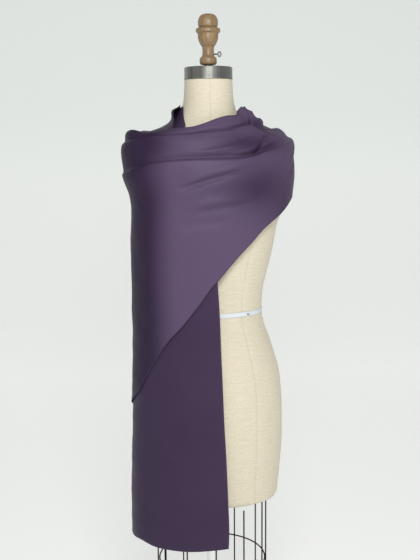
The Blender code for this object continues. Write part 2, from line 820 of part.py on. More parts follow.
def make_thumb_screw():
    """A shaft whose tip presses on the stem, with an upright oval wing; it turns about X."""
    bm = bmesh.new()
    tip = STEM_RADIUS + GAP
    length = SCREW_LOOP_CENTRE - SCREW_LOOP_WIDTH / 2 - tip
    rod_along_x(bm, 0.0, length, SCREW_SHAFT_RADIUS, 0.0)
    screw = finish_object("thumb_screw", bm, "brushed steel")
    screw.location = (tip, 0.0, SCREW_HEIGHT)
    bm = bmesh.new()
    rings = []
    for i in range(SCREW_LOOP_STEPS):
        turn = math.tau * i / SCREW_LOOP_STEPS
        outward = Vector((math.cos(turn), 0.0, math.sin(turn)))
        centre = Vector((SCREW_LOOP_WIDTH / 2 * outward.x, 0.0, SCREW_LOOP_HEIGHT / 2 * outward.z))
        ring = []
        for k in range(SCREW_LOOP_SIDES):
            spin = math.tau * k / SCREW_LOOP_SIDES
            offset = outward * math.cos(spin) + Vector((0.0, math.sin(spin), 0.0))
            ring.append(bm.verts.new(centre + SCREW_LOOP_WIRE * offset))
        rings.append(ring)
    for here, there in zip(rings, rings[1:] + rings[:1]):
        for k in range(SCREW_LOOP_SIDES):
            m = (k + 1) % SCREW_LOOP_SIDES
            bm.faces.new((here[k], here[m], there[m], there[k]))
    loop = finish_object("thumb_screw_loop", bm, "brushed steel")
    loop.parent = screw
    loop.location = (SCREW_LOOP_CENTRE - tip, 0.0, 0.0)
    loop.hide_render = True
    loop.display_type = "WIRE"
    join = screw.modifiers.new("Wing", "BOOLEAN")
    join.object = loop
    join.operation = "UNION"
    return screw


def make_waist_tape():
    """A flat tape round the waist, with its skin just off the linen."""
    low, high = TAPE_EDGES
    bm = bmesh.new()
    loops = []
    for height, outward in (
        (low, GAP),
        (low, GAP + TAPE_THICKNESS),
        (high, GAP + TAPE_THICKNESS),
        (high, GAP),
    ):
        loops.append([bm.verts.new(torso_point(height, angle, outward)) for angle in FORM_ANGLES])
    for lower, upper in zip(loops, loops[1:] + loops[:1]):
        for i in range(len(FORM_ANGLES)):
            j = (i + 1) % len(FORM_ANGLES)
            bm.faces.new((lower[i], lower[j], upper[j], upper[i]))
    return finish_object("waist_tape", bm, "white cotton tape")


def make_waist_pin():
    """The head of the pin that holds the tape's lap."""
    skin = GAP + TAPE_THICKNESS + GAP
    centre = torso_point(TAPE_HEIGHT, PIN_ANGLE, skin + PIN_RADIUS)
    bm = bmesh.new()
    bmesh.ops.create_icosphere(bm, subdivisions=2, radius=PIN_RADIUS)
    pin = finish_object("waist_pin", bm, "black pin")
    pin.location = centre
    return pin


def main():
    clear_scene()
    make_base()
    make_pole()
    make_cage()
    make_torso()
    make_neck_cap()
    make_stem()
    make_finial()
    make_thumb_screw()
    make_waist_tape()
    make_waist_pin()
    make_front_panel()
    make_back_wrap()
    make_front_wrap()
    make_tail()
    make_neck_fold()


main()
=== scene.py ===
"""Evening stole on a limbless dress form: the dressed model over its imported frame.

Metres, +Z up, the form faces -Y. The stole is one strip. Its course is followed by an angle that
starts at end B on the right back, runs across the chest and the left shoulder, round the back,
and ends with end A at the right front. 0 degrees is the front and 90 the left side.
"""

import bisect
import functools
import json
import math

import bmesh
import bpy
from bpy.props import FloatProperty, FloatVectorProperty, IntProperty, PointerProperty
from mathutils import Matrix, Vector, noise

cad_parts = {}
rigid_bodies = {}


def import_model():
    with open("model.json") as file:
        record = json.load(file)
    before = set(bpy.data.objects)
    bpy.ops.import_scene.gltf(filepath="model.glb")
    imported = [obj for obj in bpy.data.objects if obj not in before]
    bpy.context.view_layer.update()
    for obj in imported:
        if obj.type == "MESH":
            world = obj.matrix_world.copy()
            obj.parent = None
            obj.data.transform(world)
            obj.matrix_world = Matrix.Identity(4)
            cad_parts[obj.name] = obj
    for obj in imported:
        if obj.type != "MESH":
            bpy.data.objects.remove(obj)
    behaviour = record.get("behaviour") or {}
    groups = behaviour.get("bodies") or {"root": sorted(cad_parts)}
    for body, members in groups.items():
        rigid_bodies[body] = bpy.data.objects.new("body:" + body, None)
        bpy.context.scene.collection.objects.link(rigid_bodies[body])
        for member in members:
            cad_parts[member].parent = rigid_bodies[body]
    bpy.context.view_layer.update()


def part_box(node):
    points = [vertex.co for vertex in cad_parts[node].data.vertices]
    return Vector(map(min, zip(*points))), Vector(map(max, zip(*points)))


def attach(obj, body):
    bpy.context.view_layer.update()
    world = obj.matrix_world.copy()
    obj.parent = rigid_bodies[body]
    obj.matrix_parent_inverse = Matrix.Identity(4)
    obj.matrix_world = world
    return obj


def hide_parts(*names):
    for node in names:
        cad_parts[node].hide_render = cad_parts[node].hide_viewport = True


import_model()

bl_info = {
    "name": "Evening stole on a dress form",
    "version": (1, 0, 0),
    "blender": (4, 5, 0),
    "location": "3D View > Sidebar > Dress form",
    "description": "Builds a satin stole draped over a linen dress form on its stand",
    "category": "Object",
}

# Stand and form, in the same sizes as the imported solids
BASE_RADIUS = 0.225
BASE_THICKNESS = 0.007
HUB_RADIUS = 0.030
HUB_HEIGHT = 0.028
POLE_RADIUS = 0.0125
CAGE_RADIUS = 0.126
CAGE_WIRES = 12
WIRE_RADIUS = 0.0016
RING_HEIGHTS = {"cage_ring_upper": 0.464, "cage_ring_lower": 0.300}
TORSO_BOTTOM = 0.619
NECK_RADIUS = 0.0515
CAP_BOTTOM = 1.5535
CAP_TOP = 1.580
TAPE_HEIGHT = 1.0515
TAPE_WIDTH = 0.0104
PIN_ANGLE = 41.0
PIN_RADIUS = 0.0016
FINIAL_BOTTOM = 1.585
STEM_RADIUS = 0.0095
STEM_TOP = FINIAL_BOTTOM + 0.034
SCREW_HEIGHT = 1.6075
SCREW_RADIUS = 0.0016
SCREW_LOOP = 0.0240
GAP = 0.0003

# How the strip's layers lie over each other
LAYER_DROP = 0.0036
FRONT_DROP = 0.0070
BACK_SEAM_ANGLE = 205.0
SIDE_HEIGHT = 0.930

# Steps for reading the drape
SHOULDER_DROP = 0.090
FINE_STEPS = 60
NORMAL_STEP = 0.001
NORMAL_ANGLE = 0.5

# The form's level sections: height, half width, reach to the front and back, squareness
TORSO_SECTIONS = (
    (0.619, 0.1380, 0.094, 0.101, 2.3),
    (0.6215, 0.1455, 0.101, 0.108, 2.3),
    (0.630, 0.1500, 0.105, 0.112, 2.3),
    (0.655, 0.1530, 0.107, 0.117, 2.2),
    (0.720, 0.1590, 0.109, 0.124, 2.2),
    (0.770, 0.1615, 0.110, 0.130, 2.2),
    (0.840, 0.1606, 0.112, 0.133, 2.2),
    (0.890, 0.1570, 0.112, 0.129, 2.2),
    (0.920, 0.1524, 0.110, 0.122, 2.15),
    (0.9525, 0.1433, 0.107, 0.112, 2.1),
    (0.994, 0.1300, 0.099, 0.096, 2.05),
    (1.021, 0.1200, 0.0925, 0.0865, 2.0),
    (1.050, 0.1148, 0.089, 0.083, 2.0),
    (1.0895, 0.1165, 0.090, 0.083, 2.0),
    (1.124, 0.1230, 0.095, 0.085, 2.05),
    (1.170, 0.1345, 0.104, 0.092, 2.1),
    (1.204, 0.1415, 0.114, 0.098, 2.15),
    (1.241, 0.1475, 0.124, 0.103, 2.2),
    (1.266, 0.1560, 0.125, 0.107, 2.25),
    (1.300, 0.1640, 0.120, 0.111, 2.3),
    (1.345, 0.1715, 0.108, 0.113, 2.3),
    (1.385, 0.1720, 0.096, 0.110, 2.3),
    (1.405, 0.1690, 0.090, 0.106, 2.2),
    (1.420, 0.1600, 0.085, 0.100, 2.1),
    (1.432, 0.1500, 0.080, 0.093, 2.05),
    (1.442, 0.1325, 0.076, 0.086, 2.0),
    (1.452, 0.1000, 0.071, 0.078, 2.0),
    (1.464, 0.0775, 0.065, 0.068, 2.0),
    (1.480, 0.0640, 0.059, 0.060, 2.0),
    (1.500, 0.0560, 0.0545, 0.0545, 2.0),
    (1.525, 0.0528, 0.0528, 0.0528, 2.0),
    (1.5532, 0.0515, 0.0515, 0.0515, 2.0),
)

# The hung cloth's level sections, from the neck down: height, reach to the right, left,
# front and back, squareness
DRAPE_SECTIONS = (
    (1.5060, 0.0610, 0.0640, 0.0700, 0.0740, 2.0),
    (1.4850, 0.0760, 0.0820, 0.0800, 0.0860, 2.0),
    (1.4700, 0.0860, 0.0980, 0.0880, 0.0950, 2.0),
    (1.4600, 0.1000, 0.1110, 0.0940, 0.1020, 2.0),
    (1.4500, 0.1270, 0.1210, 0.1000, 0.1100, 2.0),
    (1.4445, 0.1520, 0.1420, 0.1035, 0.1140, 2.0),
    (1.4380, 0.1720, 0.1640, 0.1070, 0.1180, 2.1),
    (1.4250, 0.1800, 0.1740, 0.1140, 0.1260, 2.2),
    (1.4050, 0.1860, 0.1785, 0.1215, 0.1330, 2.3),
    (1.3850, 0.1880, 0.1825, 0.1270, 0.1370, 2.3),
    (1.3550, 0.1860, 0.1860, 0.1325, 0.1400, 2.3),
    (1.3100, 0.1750, 0.1825, 0.1360, 0.1400, 2.3),
    (1.2700, 0.1720, 0.1740, 0.1360, 0.1390, 2.35),
    (1.2000, 0.1745, 0.1640, 0.1340, 0.1390, 2.4),
    (1.1000, 0.1745, 0.1600, 0.1310, 0.1420, 2.4),
    (1.0000, 0.1745, 0.1600, 0.1310, 0.1460, 2.35),
    (0.9000, 0.1775, 0.1660, 0.1330, 0.1500, 2.3),
    (0.8000, 0.1825, 0.1680, 0.1350, 0.1500, 2.25),
    (0.6000, 0.1885, 0.1700, 0.1385, 0.1500, 2.2),
    (0.5000, 0.1890, 0.1700, 0.1385, 0.1500, 2.2),
)
DRAPE_BY_HEIGHT = tuple(reversed(DRAPE_SECTIONS))

# The strip's two long edges by angle along its course: angle, height
NECK_EDGE = (
    (-150.0, 1.4440),
    (-90.0, 1.4470),
    (-60.0, 1.4450),
    (-39.0, 1.4510),
    (-22.0, 1.4535),
    (-12.0, 1.4590),
    (0.0, 1.4665),
    (12.0, 1.4730),
    (24.0, 1.4765),
    (35.0, 1.4770),
    (44.0, 1.4860),
    (60.0, 1.4930),
    (90.0, 1.4915),
    (140.0, 1.4880),
    (180.0, 1.4920),
    (220.0, 1.4940),
    (255.0, 1.4990),
    (273.0, 1.5030),
    (282.0, 1.4960),
    (291.0, 1.4850),
    (300.0, 1.4740),
    (310.0, 1.4630),
    (322.0, 1.4520),
    (336.0, 1.4250),
    (350.0, 1.3200),
    (368.0, 1.1600),
)
OUTER_EDGE = (
    (-150.0, 0.7900),
    (-130.0, 0.8000),
    (-110.0, 0.8180),
    (-90.0, 0.8420),
    (-75.0, 0.8640),
    (-65.0, 0.8830),
    (-51.0, 0.9310),
    (-41.0, 0.9660),
    (-31.0, 1.0020),
    (-19.0, 1.0380),
    (-6.0, 1.0910),
    (2.0, 1.1370),
    (14.0, 1.1835),
    (24.0, 1.2120),
    (37.0, 1.2450),
    (57.0, 1.2735),
    (76.0, 1.2990),
    (100.0, 1.3080),
    (120.0, 1.2700),
    (140.0, 1.2180),
    (160.0, 1.1650),
    (180.0, 1.1000),
    (195.0, 1.0200),
    (205.0, 0.9300),
)
END_B_HEM = ((0.79, -132.0), (1.10, -140.0), (1.45, -150.0))
END_A_SIDE = (
    (0.53, 367.8),
    (0.583, 368.4),
    (0.657, 367.6),
    (0.73, 366.7),
    (0.836, 365.0),
    (0.949, 363.7),
    (1.052, 362.6),
    (1.134, 361.4),
    (1.25, 360.0),
)
END_A_HEM = (
    (205.0, 0.5350),
    (280.0, 0.5380),
    (300.0, 0.5425),
    (318.0, 0.5370),
    (340.0, 0.5350),
    (368.0, 0.5405),
)

# The folded inner edge, close to the right of the neck: angle, top, foot
NECK_FOLD = (
    (-112.0, 1.4840, 1.4740),
    (-100.0, 1.4885, 1.4640),
    (-86.0, 1.4920, 1.4540),
    (-75.0, 1.4975, 1.4510),
    (-67.0, 1.4930, 1.4490),
    (-57.0, 1.4800, 1.4480),
    (-45.0, 1.4670, 1.4475),
    (-34.0, 1.4560, 1.4470),
)
NECK_FOLD_STANDOFF = 0.0020
WALL = 0.0017

# Folds along the strip: name, width above and below the crest, then angle, height, lift
FOLDS = {
    "shoulder roll": (0.010, 0.014, (
        (-150.0, 1.438, 0.003), (-90.0, 1.439, 0.009), (-72.0, 1.439, 0.010), (-58.0, 1.440, 0.002),
        (-40.0, 1.444, 0.0),
    )),
    "upper cowl": (0.0045, 0.030, (
        (-150.0, 1.405, 0.0), (-110.0, 1.412, 0.004), (-73.0, 1.418, 0.006), (-51.0, 1.426, 0.008),
        (-41.0, 1.4285, 0.008), (-16.0, 1.433, 0.008), (0.0, 1.438, 0.008), (13.0, 1.4405, 0.007),
        (26.0, 1.4465, 0.006), (51.0, 1.456, 0.006), (70.0, 1.462, 0.006), (90.0, 1.464, 0.003),
        (130.0, 1.460, 0.003), (170.0, 1.455, 0.0),
    )),
    "lower cowl": (0.0050, 0.040, (
        (-150.0, 1.330, 0.0), (-110.0, 1.345, 0.004), (-77.0, 1.355, 0.005), (-55.0, 1.366, 0.009),
        (-41.0, 1.374, 0.009), (-31.0, 1.3785, 0.009), (-14.0, 1.383, 0.008), (0.0, 1.384, 0.008),
        (13.0, 1.384, 0.009), (21.0, 1.387, 0.010), (31.0, 1.3955, 0.010), (44.0, 1.404, 0.010),
        (67.0, 1.417, 0.008), (90.0, 1.424, 0.005), (130.0, 1.420, 0.003), (160.0, 1.410, 0.0),
    )),
    "tuck over the upper cowl": (0.006, 0.003, (
        (-62.0, 1.430, 0.0), (-48.0, 1.434, -0.006), (-16.0, 1.4395, -0.009), (0.0, 1.4445, -0.009),
        (13.0, 1.4470, -0.009), (26.0, 1.4525, -0.009), (51.0, 1.4615, -0.007), (74.0, 1.468, 0.0),
    )),
    "tuck over the lower cowl": (0.007, 0.003, (
        (-45.0, 1.380, 0.0), (-30.0, 1.385, -0.004), (0.0, 1.391, -0.007), (13.0, 1.392, -0.009),
        (21.0, 1.395, -0.010), (31.0, 1.403, -0.010), (44.0, 1.411, -0.008), (62.0, 1.421, 0.0),
    )),
    "neck gather": (0.006, 0.008, (
        (36.0, 1.470, 0.0), (60.0, 1.478, 0.003), (90.0, 1.480, 0.004), (130.0, 1.476, 0.003),
        (180.0, 1.472, 0.003), (230.0, 1.474, 0.002), (260.0, 1.474, 0.0),
    )),
    "back fold": (0.010, 0.050, (
        (96.0, 1.370, 0.0), (115.0, 1.350, 0.005), (145.0, 1.315, 0.007), (175.0, 1.280, 0.005),
        (202.0, 1.240, 0.0),
    )),
    "lower back fold": (0.012, 0.050, (
        (108.0, 1.310, 0.0), (130.0, 1.270, 0.005), (160.0, 1.215, 0.006), (185.0, 1.150, 0.004),
        (203.0, 1.090, 0.0),
    )),
    "upper fan": (0.006, 0.010, (
        (-12.0, 1.398, 0.0), (0.0, 1.403, 0.003), (13.0, 1.413, 0.0035), (26.0, 1.426, 0.0035),
        (40.0, 1.439, 0.0035), (58.0, 1.453, 0.003), (75.0, 1.456, 0.0),
    )),
    "lower fan": (0.005, 0.008, (
        (2.0, 1.391, 0.0), (13.0, 1.397, 0.003), (26.0, 1.409, 0.0035), (40.0, 1.429, 0.003),
        (55.0, 1.445, 0.0),
    )),
    "first chest ridge": (0.014, 0.005, (
        (-20.0, 1.334, 0.0), (-14.0, 1.341, 0.003), (-7.0, 1.348, 0.004), (2.0, 1.359, 0.004),
        (13.0, 1.369, 0.003), (30.0, 1.378, 0.0),
    )),
    "second chest ridge": (0.014, 0.005, (
        (-14.0, 1.284, 0.0), (-1.0, 1.295, 0.003), (13.0, 1.303, 0.003), (28.0, 1.307, 0.0),
    )),
    "first chest crease": (0.004, 0.010, (
        (-22.0, 1.326, 0.0), (-14.0, 1.334, -0.004), (-7.0, 1.341, -0.005), (2.0, 1.352, -0.005),
        (13.0, 1.362, -0.003), (28.0, 1.372, 0.0),
    )),
    "second chest crease": (0.004, 0.012, (
        (-16.0, 1.275, 0.0), (-1.0, 1.287, -0.004), (13.0, 1.295, -0.004), (26.0, 1.299, 0.0),
    )),
    "collar roll": (0.012, 0.012, (
        (225.0, 1.484, 0.0), (245.0, 1.486, 0.004), (265.0, 1.487, 0.008), (280.0, 1.485, 0.010),
        (292.0, 1.478, 0.009), (305.0, 1.466, 0.005), (318.0, 1.455, 0.0),
    )),
    "left arm crease": (0.006, 0.009, (
        (40.0, 1.300, 0.0), (50.0, 1.322, -0.0025), (62.0, 1.354, -0.004), (80.0, 1.395, -0.005),
        (95.0, 1.415, -0.003), (110.0, 1.420, 0.0),
    )),
    "left arm ridge": (0.008, 0.012, (
        (58.0, 1.372, 0.0), (70.0, 1.394, 0.002), (84.0, 1.418, 0.003), (100.0, 1.430, 0.0),
    )),
    "left shoulder roll": (0.006, 0.014, (
        (60.0, 1.446, 0.0), (76.0, 1.443, 0.006), (95.0, 1.442, 0.008), (120.0, 1.438, 0.005),
        (150.0, 1.430, 0.0),
    )),
    "left shoulder hollow": (0.005, 0.005, (
        (52.0, 1.453, 0.0), (66.0, 1.454, -0.003), (98.0, 1.454, -0.004), (130.0, 1.451, 0.0),
    )),
    "third chest crease": (0.010, 0.010, (
        (-32.0, 1.252, 0.0), (-14.0, 1.254, -0.002), (0.0, 1.259, -0.0025), (14.0, 1.268, 0.0),
    )),
}

# Folds down the strip: name, half width in degrees, then height, angle, lift
FALLS = {
    "side break": (15.0, (
        (0.980, -40.0, 0.0), (1.020, -40.0, 0.002), (1.100, -40.0, 0.004), (1.270, -40.0, 0.003),
        (1.330, -38.0, 0.0),
    )),
    "shoulder valley": (3.2, (
        (1.385, 25.0, 0.0), (1.394, 27.0, -0.004), (1.418, 34.0, -0.008), (1.442, 46.0, -0.009),
        (1.462, 54.0, 0.0),
    )),
    "first collar pleat": (3.0, (
        (1.440, 41.0, 0.0), (1.456, 46.0, 0.004), (1.476, 52.0, 0.007), (1.495, 55.0, 0.006),
        (1.506, 56.0, 0.0),
    )),
    "second collar pleat": (3.5, (
        (1.440, 58.0, 0.0), (1.456, 62.0, 0.004), (1.474, 66.0, 0.007), (1.493, 70.0, 0.006),
        (1.506, 72.0, 0.0),
    )),
    "third collar pleat": (4.0, (
        (1.440, 76.0, 0.0), (1.456, 80.0, 0.004), (1.474, 84.0, 0.006), (1.493, 88.0, 0.004),
        (1.506, 90.0, 0.0),
    )),
}

# Painted sheen and shade on the satin: where the painted sheen comes in across the chest, and the hollows under
# the folds that get painted shade: angle, height, reach in degrees, spread, share lost
PAINTED_SHEEN_TURN = (-50.0, -20.0)
PAINTED_SHADE_HOLLOWS = {
    "under the left arm crease": (26.0, 1.328, 26.0, 0.046, 0.80),
    "between the cowls, right": (-46.0, 1.412, 21.0, 0.020, 0.95),
    "between the cowls, left": (23.0, 1.417, 27.0, 0.018, 0.85),
    "under the collar": (52.0, 1.455, 14.0, 0.016, 0.80),
    "under the left arm": (62.0, 1.285, 20.0, 0.050, 0.55),
}
# The angles over which the painted sheen falls to end A's lower share
PAINTED_SHEEN_RETURN = (70.0, 190.0)
PANEL_PAINTED_SHEEN = 0.24

# Where the columns of the strip lie: column, angle
WRAP_COLUMNS = ((0, -150.0), (18, -100.0), (178, 100.0), (222, BACK_SEAM_ANGLE))
PANEL_COLUMNS = ((0, BACK_SEAM_ANGLE), (26, 290.0), (80, 368.0))
WIDTH_STOPS = ((0, 0.0), (80, 0.40), (122, 0.965), (130, 1.0))
WIDTH_ROWS = WIDTH_STOPS[-1][0]
PANEL_ROWS = 52

# The form's seams by angle round it, and how far round each one's groove reaches
FORM_SEAMS = (0.0, 34.0, 90.0, 146.0, 180.0, 214.0, 270.0, 326.0)
NECK_SEAMS = (0.0, 90.0, 180.0, 270.0)
PRINCESS_TOP = 1.445
SEAM_REACH = 1.1
COVER_RADIUS = 0.12

# The finial's turned outline, from the underside up: radius, height over its foot
FINIAL_OUTLINE = (
    (0.0150, 0.0000),
    (0.0178, 0.0025),
    (0.0185, 0.0055),
    (0.0185, 0.0085),
    (0.0178, 0.0140),
    (0.0143, 0.0175),
    (0.0126, 0.0215),
    (0.0124, 0.0300),
    (0.0130, 0.0370),
    (0.0160, 0.0415),
    (0.0195, 0.0485),
    (0.0217, 0.0560),
    (0.0222, 0.0655),
    (0.0248, 0.0672),
    (0.0262, 0.0695),
    (0.0262, 0.0730),
    (0.0240, 0.0765),
    (0.0190, 0.0785),
    (0.0210, 0.0812),
    (0.0216, 0.0870),
    (0.0207, 0.0940),
    (0.0182, 0.1000),
    (0.0135, 0.1043),
    (0.0070, 0.1063),
    (0.0000, 0.1067),
)

# The camera, level with the neck: its distance, height, turns in degrees and lens in millimetres
CAMERA_DISTANCE = 2.0
CAMERA_HEIGHT = 1.436
CAMERA_AZIMUTH = -4.0
CAMERA_PITCH = 9.06
CAMERA_ROLL = 0.46
CAMERA_LENS = 58.4


def linear_colour(code):
    """The linear value of an sRGB hex colour, with full alpha."""
    channels = []
    for start in (0, 2, 4):
        value = int(code[start : start + 2], 16) / 255.0
        channels.append(value / 12.92 if value <= 0.04045 else ((value + 0.055) / 1.055) ** 2.4)
    return (*channels, 1.0)


def colour_property(name, description, code):
    """A colour setting with its default given as an sRGB hex value."""
    return FloatVectorProperty(
        name=name, description=description, default=linear_colour(code), size=4, min=0.0, max=1.0,
        subtype="COLOR",
    )


def length_property(name, description, default):
    """A length setting in metres."""
    return FloatProperty(name=name, description=description, default=default, min=0.0, unit="LENGTH")


class StoleSettings(bpy.types.PropertyGroup):
    """Sizes and colours of the stole."""

    # The lit and the shaded copy of the satin colour, which the painted sheen mixes: lighter across the chest,
    # darker in the hollows and on end A
    satin: colour_property("Satin", "Colour of the satin where its floats face the light", "54465f")
    satin_painted_shade: colour_property("Satin shade", "Colour of the satin where its floats lie away", "30243a")
    hem: colour_property("Hem", "Colour of the turned hem", "43364f")
    thickness: length_property("Cloth thickness", "Thickness of the cloth", 0.0012)
    hem_width: length_property("Hem width", "Width of the rolled hem", 0.0030)
    hem_rise: length_property("Hem rise", "How far the rolled hem stands up", 0.0005)
    ripple: length_property("Ripple", "Height of the small ripples in the cloth", 0.0011)


class FormSettings(bpy.types.PropertyGroup):
    """Sizes and colours of the dress form."""

    linen: colour_property("Linen", "Colour of the linen cover", "f0e8d2")
    linen_shade: colour_property("Linen shade", "Colour between the linen threads", "bab199")
    tape: colour_property("Tape", "Colour of the waist tape", "dce1e7")
    pin: colour_property("Pin", "Colour of the pin head", "151418")
    seam_depth: length_property("Seam depth", "Depth of the sewn seams", 0.0009)
    tape_thickness: length_property("Tape thickness", "Thickness of the waist tape", 0.0005)


class StandSettings(bpy.types.PropertyGroup):
    """Sizes and colours of the metal and wooden parts."""

    steel: colour_property("Steel", "Colour of the brushed steel", "a6a7a1")
    # Colour of the darker vertical streaks on the steel
    dark_streak: colour_property("Stain", "Colour of the stains on the steel", "4e4f4c")
    screw: colour_property("Thumb screw", "Colour of the tarnished thumb screw", "66645f")
    wood: colour_property("Wood", "Colour of the light wood", "9c8360")
    wood_dark: colour_property("Wood grain", "Colour of the darker grain", "6f563b")
    enamel: colour_property("Wire enamel", "Colour of the enamelled wire", "070708")
    powder: colour_property("Powder coat", "Colour of the pole and base", "3a3b3d")
    turning_steps: IntProperty(
        name="Turning steps", description="Steps round a turned piece", default=72, min=12, max=256
    )


class StageSettings(bpy.types.PropertyGroup):
    """Light and floor."""

    floor: colour_property("Floor", "Colour of the floor", "f0f1ef")
    wall: colour_property("Wall", "Colour of the backdrop's wall", "e2e6e3")
    key_power: FloatProperty(
        name="Key light", description="Power of the key light", default=26.0, min=0.0, unit="POWER"
    )
    fill_power: FloatProperty(
        name="Fill light", description="Power of the fill light", default=8.0, min=0.0, unit="POWER"
    )
    backdrop_glow: FloatProperty(
        name="Backdrop glow", description="Light that the backdrop gives off", default=0.37, min=0.0
    )
    sky: FloatProperty(
        name="Room light", description="Strength of the light all round", default=0.44, min=0.0
    )


# ---- Reading the tables


def slope_at(rows, column, index):
    """The slope of a column at a row, flat where the column turns, so no value overshoots."""
    if index == 0 or index == len(rows) - 1:
        near, far = (0, 1) if index == 0 else (-2, -1)
        return (rows[far][column] - rows[near][column]) / (rows[far][0] - rows[near][0])
    before = (rows[index][column] - rows[index - 1][column]) / (rows[index][0] - rows[index - 1][0])
    after = (rows[index + 1][column] - rows[index][column]) / (rows[index + 1][0] - rows[index][0])
    return 0.0 if before * after <= 0.0 else 2.0 * before * after / (before + after)


@functools.lru_cache(maxsize=None)
def read_row(rows, key, column=1):
    """A smooth curve through one column of a table, read at a value of its first column."""
    key = min(max(key, rows[0][0]), rows[-1][0])
    index = 0
    while index < len(rows) - 2 and rows[index + 1][0] < key:
        index += 1
    span = rows[index + 1][0] - rows[index][0]
    t = (key - rows[index][0]) / span
    start = rows[index][column]
    end = rows[index + 1][column]
    leave = slope_at(rows, column, index) * span
    arrive = slope_at(rows, column, index + 1) * span
    return (
        (2 * t**3 - 3 * t**2 + 1) * start
        + (t**3 - 2 * t**2 + t) * leave
        + (3 * t**2 - 2 * t**3) * end
        + (t**3 - t**2) * arrive
    )


def signed_power(value, power):
    return math.copysign(abs(value) ** power, value)


def ease(value, start, end):
    """Rises smoothly from 0 at start to 1 at end."""
    t = min(max((value - start) / (end - start), 0.0), 1.0)
    return t * t * (3.0 - 2.0 * t)


def torso_point(height, angle, outward=0.0):
    """A point of the form's skin, moved outward by a distance."""
    rows = TORSO_SECTIONS
    half_width = read_row(rows, height, 1) + outward
    front = read_row(rows, height, 2) + outward
    back = read_row(rows, height, 3) + outward
    power = 2.0 / read_row(rows, height, 4)
    sine = math.sin(math.radians(angle))
    cosine = math.cos(math.radians(angle))
    x = signed_power(sine, power) * half_width
    y = -signed_power(cosine, power) * (front if cosine > 0 else back)
    return Vector((x, y, height))


def drape_point(angle, height):
    """A point of the smooth shape that the cloth hangs in, before its folds."""
    rows = DRAPE_BY_HEIGHT
    sine = math.sin(math.radians(angle))
    cosine = math.cos(math.radians(angle))
    side = read_row(rows, height, 2 if sine >= 0 else 1)
    depth = read_row(rows, height, 3 if cosine >= 0 else 4)
    power = 2.0 / read_row(rows, height, 5)
    return Vector((signed_power(sine, power) * side, -signed_power(cosine, power) * depth, height))


@functools.lru_cache(maxsize=None)
def run_down(angle):
    """Heights down the drape at one angle, each with its distance from the neck along the cloth."""
    top = DRAPE_SECTIONS[0][0]
    bottom = DRAPE_SECTIONS[-1][0]
    heights = [top - SHOULDER_DROP * i / FINE_STEPS for i in range(FINE_STEPS)]
    rest = top - SHOULDER_DROP - bottom
    heights += [top - SHOULDER_DROP - rest * i / FINE_STEPS for i in range(FINE_STEPS + 1)]
    rows = []
    distance = 0.0
    before = None
    for height in heights:
        point = drape_point(angle, height)
        if before is not None:
            distance += (point - before).length
        rows.append((distance, height))
        before = point
    return tuple(rows)


def height_at(angle, distance):
    """The height of the drape at a distance from the neck."""
    rows = run_down(angle)
    distance = min(max(distance, 0.0), rows[-1][0])
    index = min(bisect.bisect_left(rows, (distance, -math.inf)), len(rows) - 1)
    low, high = rows[max(index - 1, 0)], rows[max(index, 1)]
    return low[1] + (high[1] - low[1]) * (distance - low[0]) / (high[0] - low[0])


def distance_at(angle, height):
    """The distance from the neck down to a height of the drape."""
    rows = run_down(angle)
    height = min(max(height, rows[-1][1]), rows[0][1])
    index = min(bisect.bisect_left(rows, -height, key=lambda row: -row[1]), len(rows) - 1)
    low, high = rows[max(index - 1, 0)], rows[max(index, 1)]
    return low[0] + (high[0] - low[0]) * (height - low[1]) / (high[1] - low[1])


@functools.lru_cache(maxsize=None)
def crests_at(angle):
    """The folds that cross one angle: distance from the neck, widths above and below, lift."""
    found = []
    for above, below, rows in FOLDS.values():
        if rows[0][0] < angle < rows[-1][0]:
            distance = distance_at(angle, read_row(rows, angle, 1))
            found.append((distance, above, below, read_row(rows, angle, 2)))
    return tuple(found)


def fold_lift(angle, height):
    """How far the folds raise the cloth over its smooth shape at one place of the strip."""
    lift = 0.0
    distance = distance_at(angle, height)
    for crest, above, below, rise in crests_at(angle):
        away = distance - crest
        lift += rise * math.exp(-((away / (below if away > 0 else above)) ** 2))
    for half_width, rows in FALLS.values():
        if rows[0][0] < height < rows[-1][0]:
            away = angle - read_row(rows, height, 1)
            lift += read_row(rows, height, 2) * math.exp(-((away / half_width) ** 2))
    return lift


def layer_offset(angle):
    """How far below the outermost layer the strip lies: end A runs under everything."""
    deeper = (FRONT_DROP - LAYER_DROP) * ease(angle, 300.0, 340.0)
    return -ease(angle, 150.0, 210.0) * (LAYER_DROP + deeper)


def facing(angle, height):
    """The outward direction of the drape."""
    distance = distance_at(angle, height)
    lower = height_at(angle, distance + NORMAL_STEP)
    upper = height_at(angle, max(distance - NORMAL_STEP, 0.0))
    around = drape_point(angle + NORMAL_ANGLE, height) - drape_point(angle - NORMAL_ANGLE, height)
    upward = drape_point(angle, upper) - drape_point(angle, lower)
    return around.cross(upward).normalized()


# ---- Meshes


def finish_piece(name, bm, material, smooth_angle=40.0):
    """Makes a bmesh into a piece at the origin, smooth except at its sharp corners."""
    mesh = bpy.data.meshes.new(name)
    bm.to_mesh(mesh)
    bm.free()
    mesh.shade_smooth()
    if smooth_angle:
        mesh.set_sharp_from_angle(angle=math.radians(smooth_angle))
    mesh.materials.append(material)
    piece = bpy.data.objects.new(name, mesh)
    bpy.context.scene.collection.objects.link(piece)
    return piece


def grid_sheet(bm, columns, rows, place):
    """A grid whose corners place(column, row) puts in the room; gives them by column and row."""
    made = bmesh.ops.create_grid(bm, x_segments=columns, y_segments=rows, size=1.0)
    corners = {}
    for vert in made["verts"]:
        column = round((vert.co.x + 1.0) / 2.0 * columns)
        row = round((1.0 - vert.co.y) / 2.0 * rows)
        corners[column, row] = vert
    for (column, row), vert in corners.items():
        vert.co = place(column, row)
    return corners


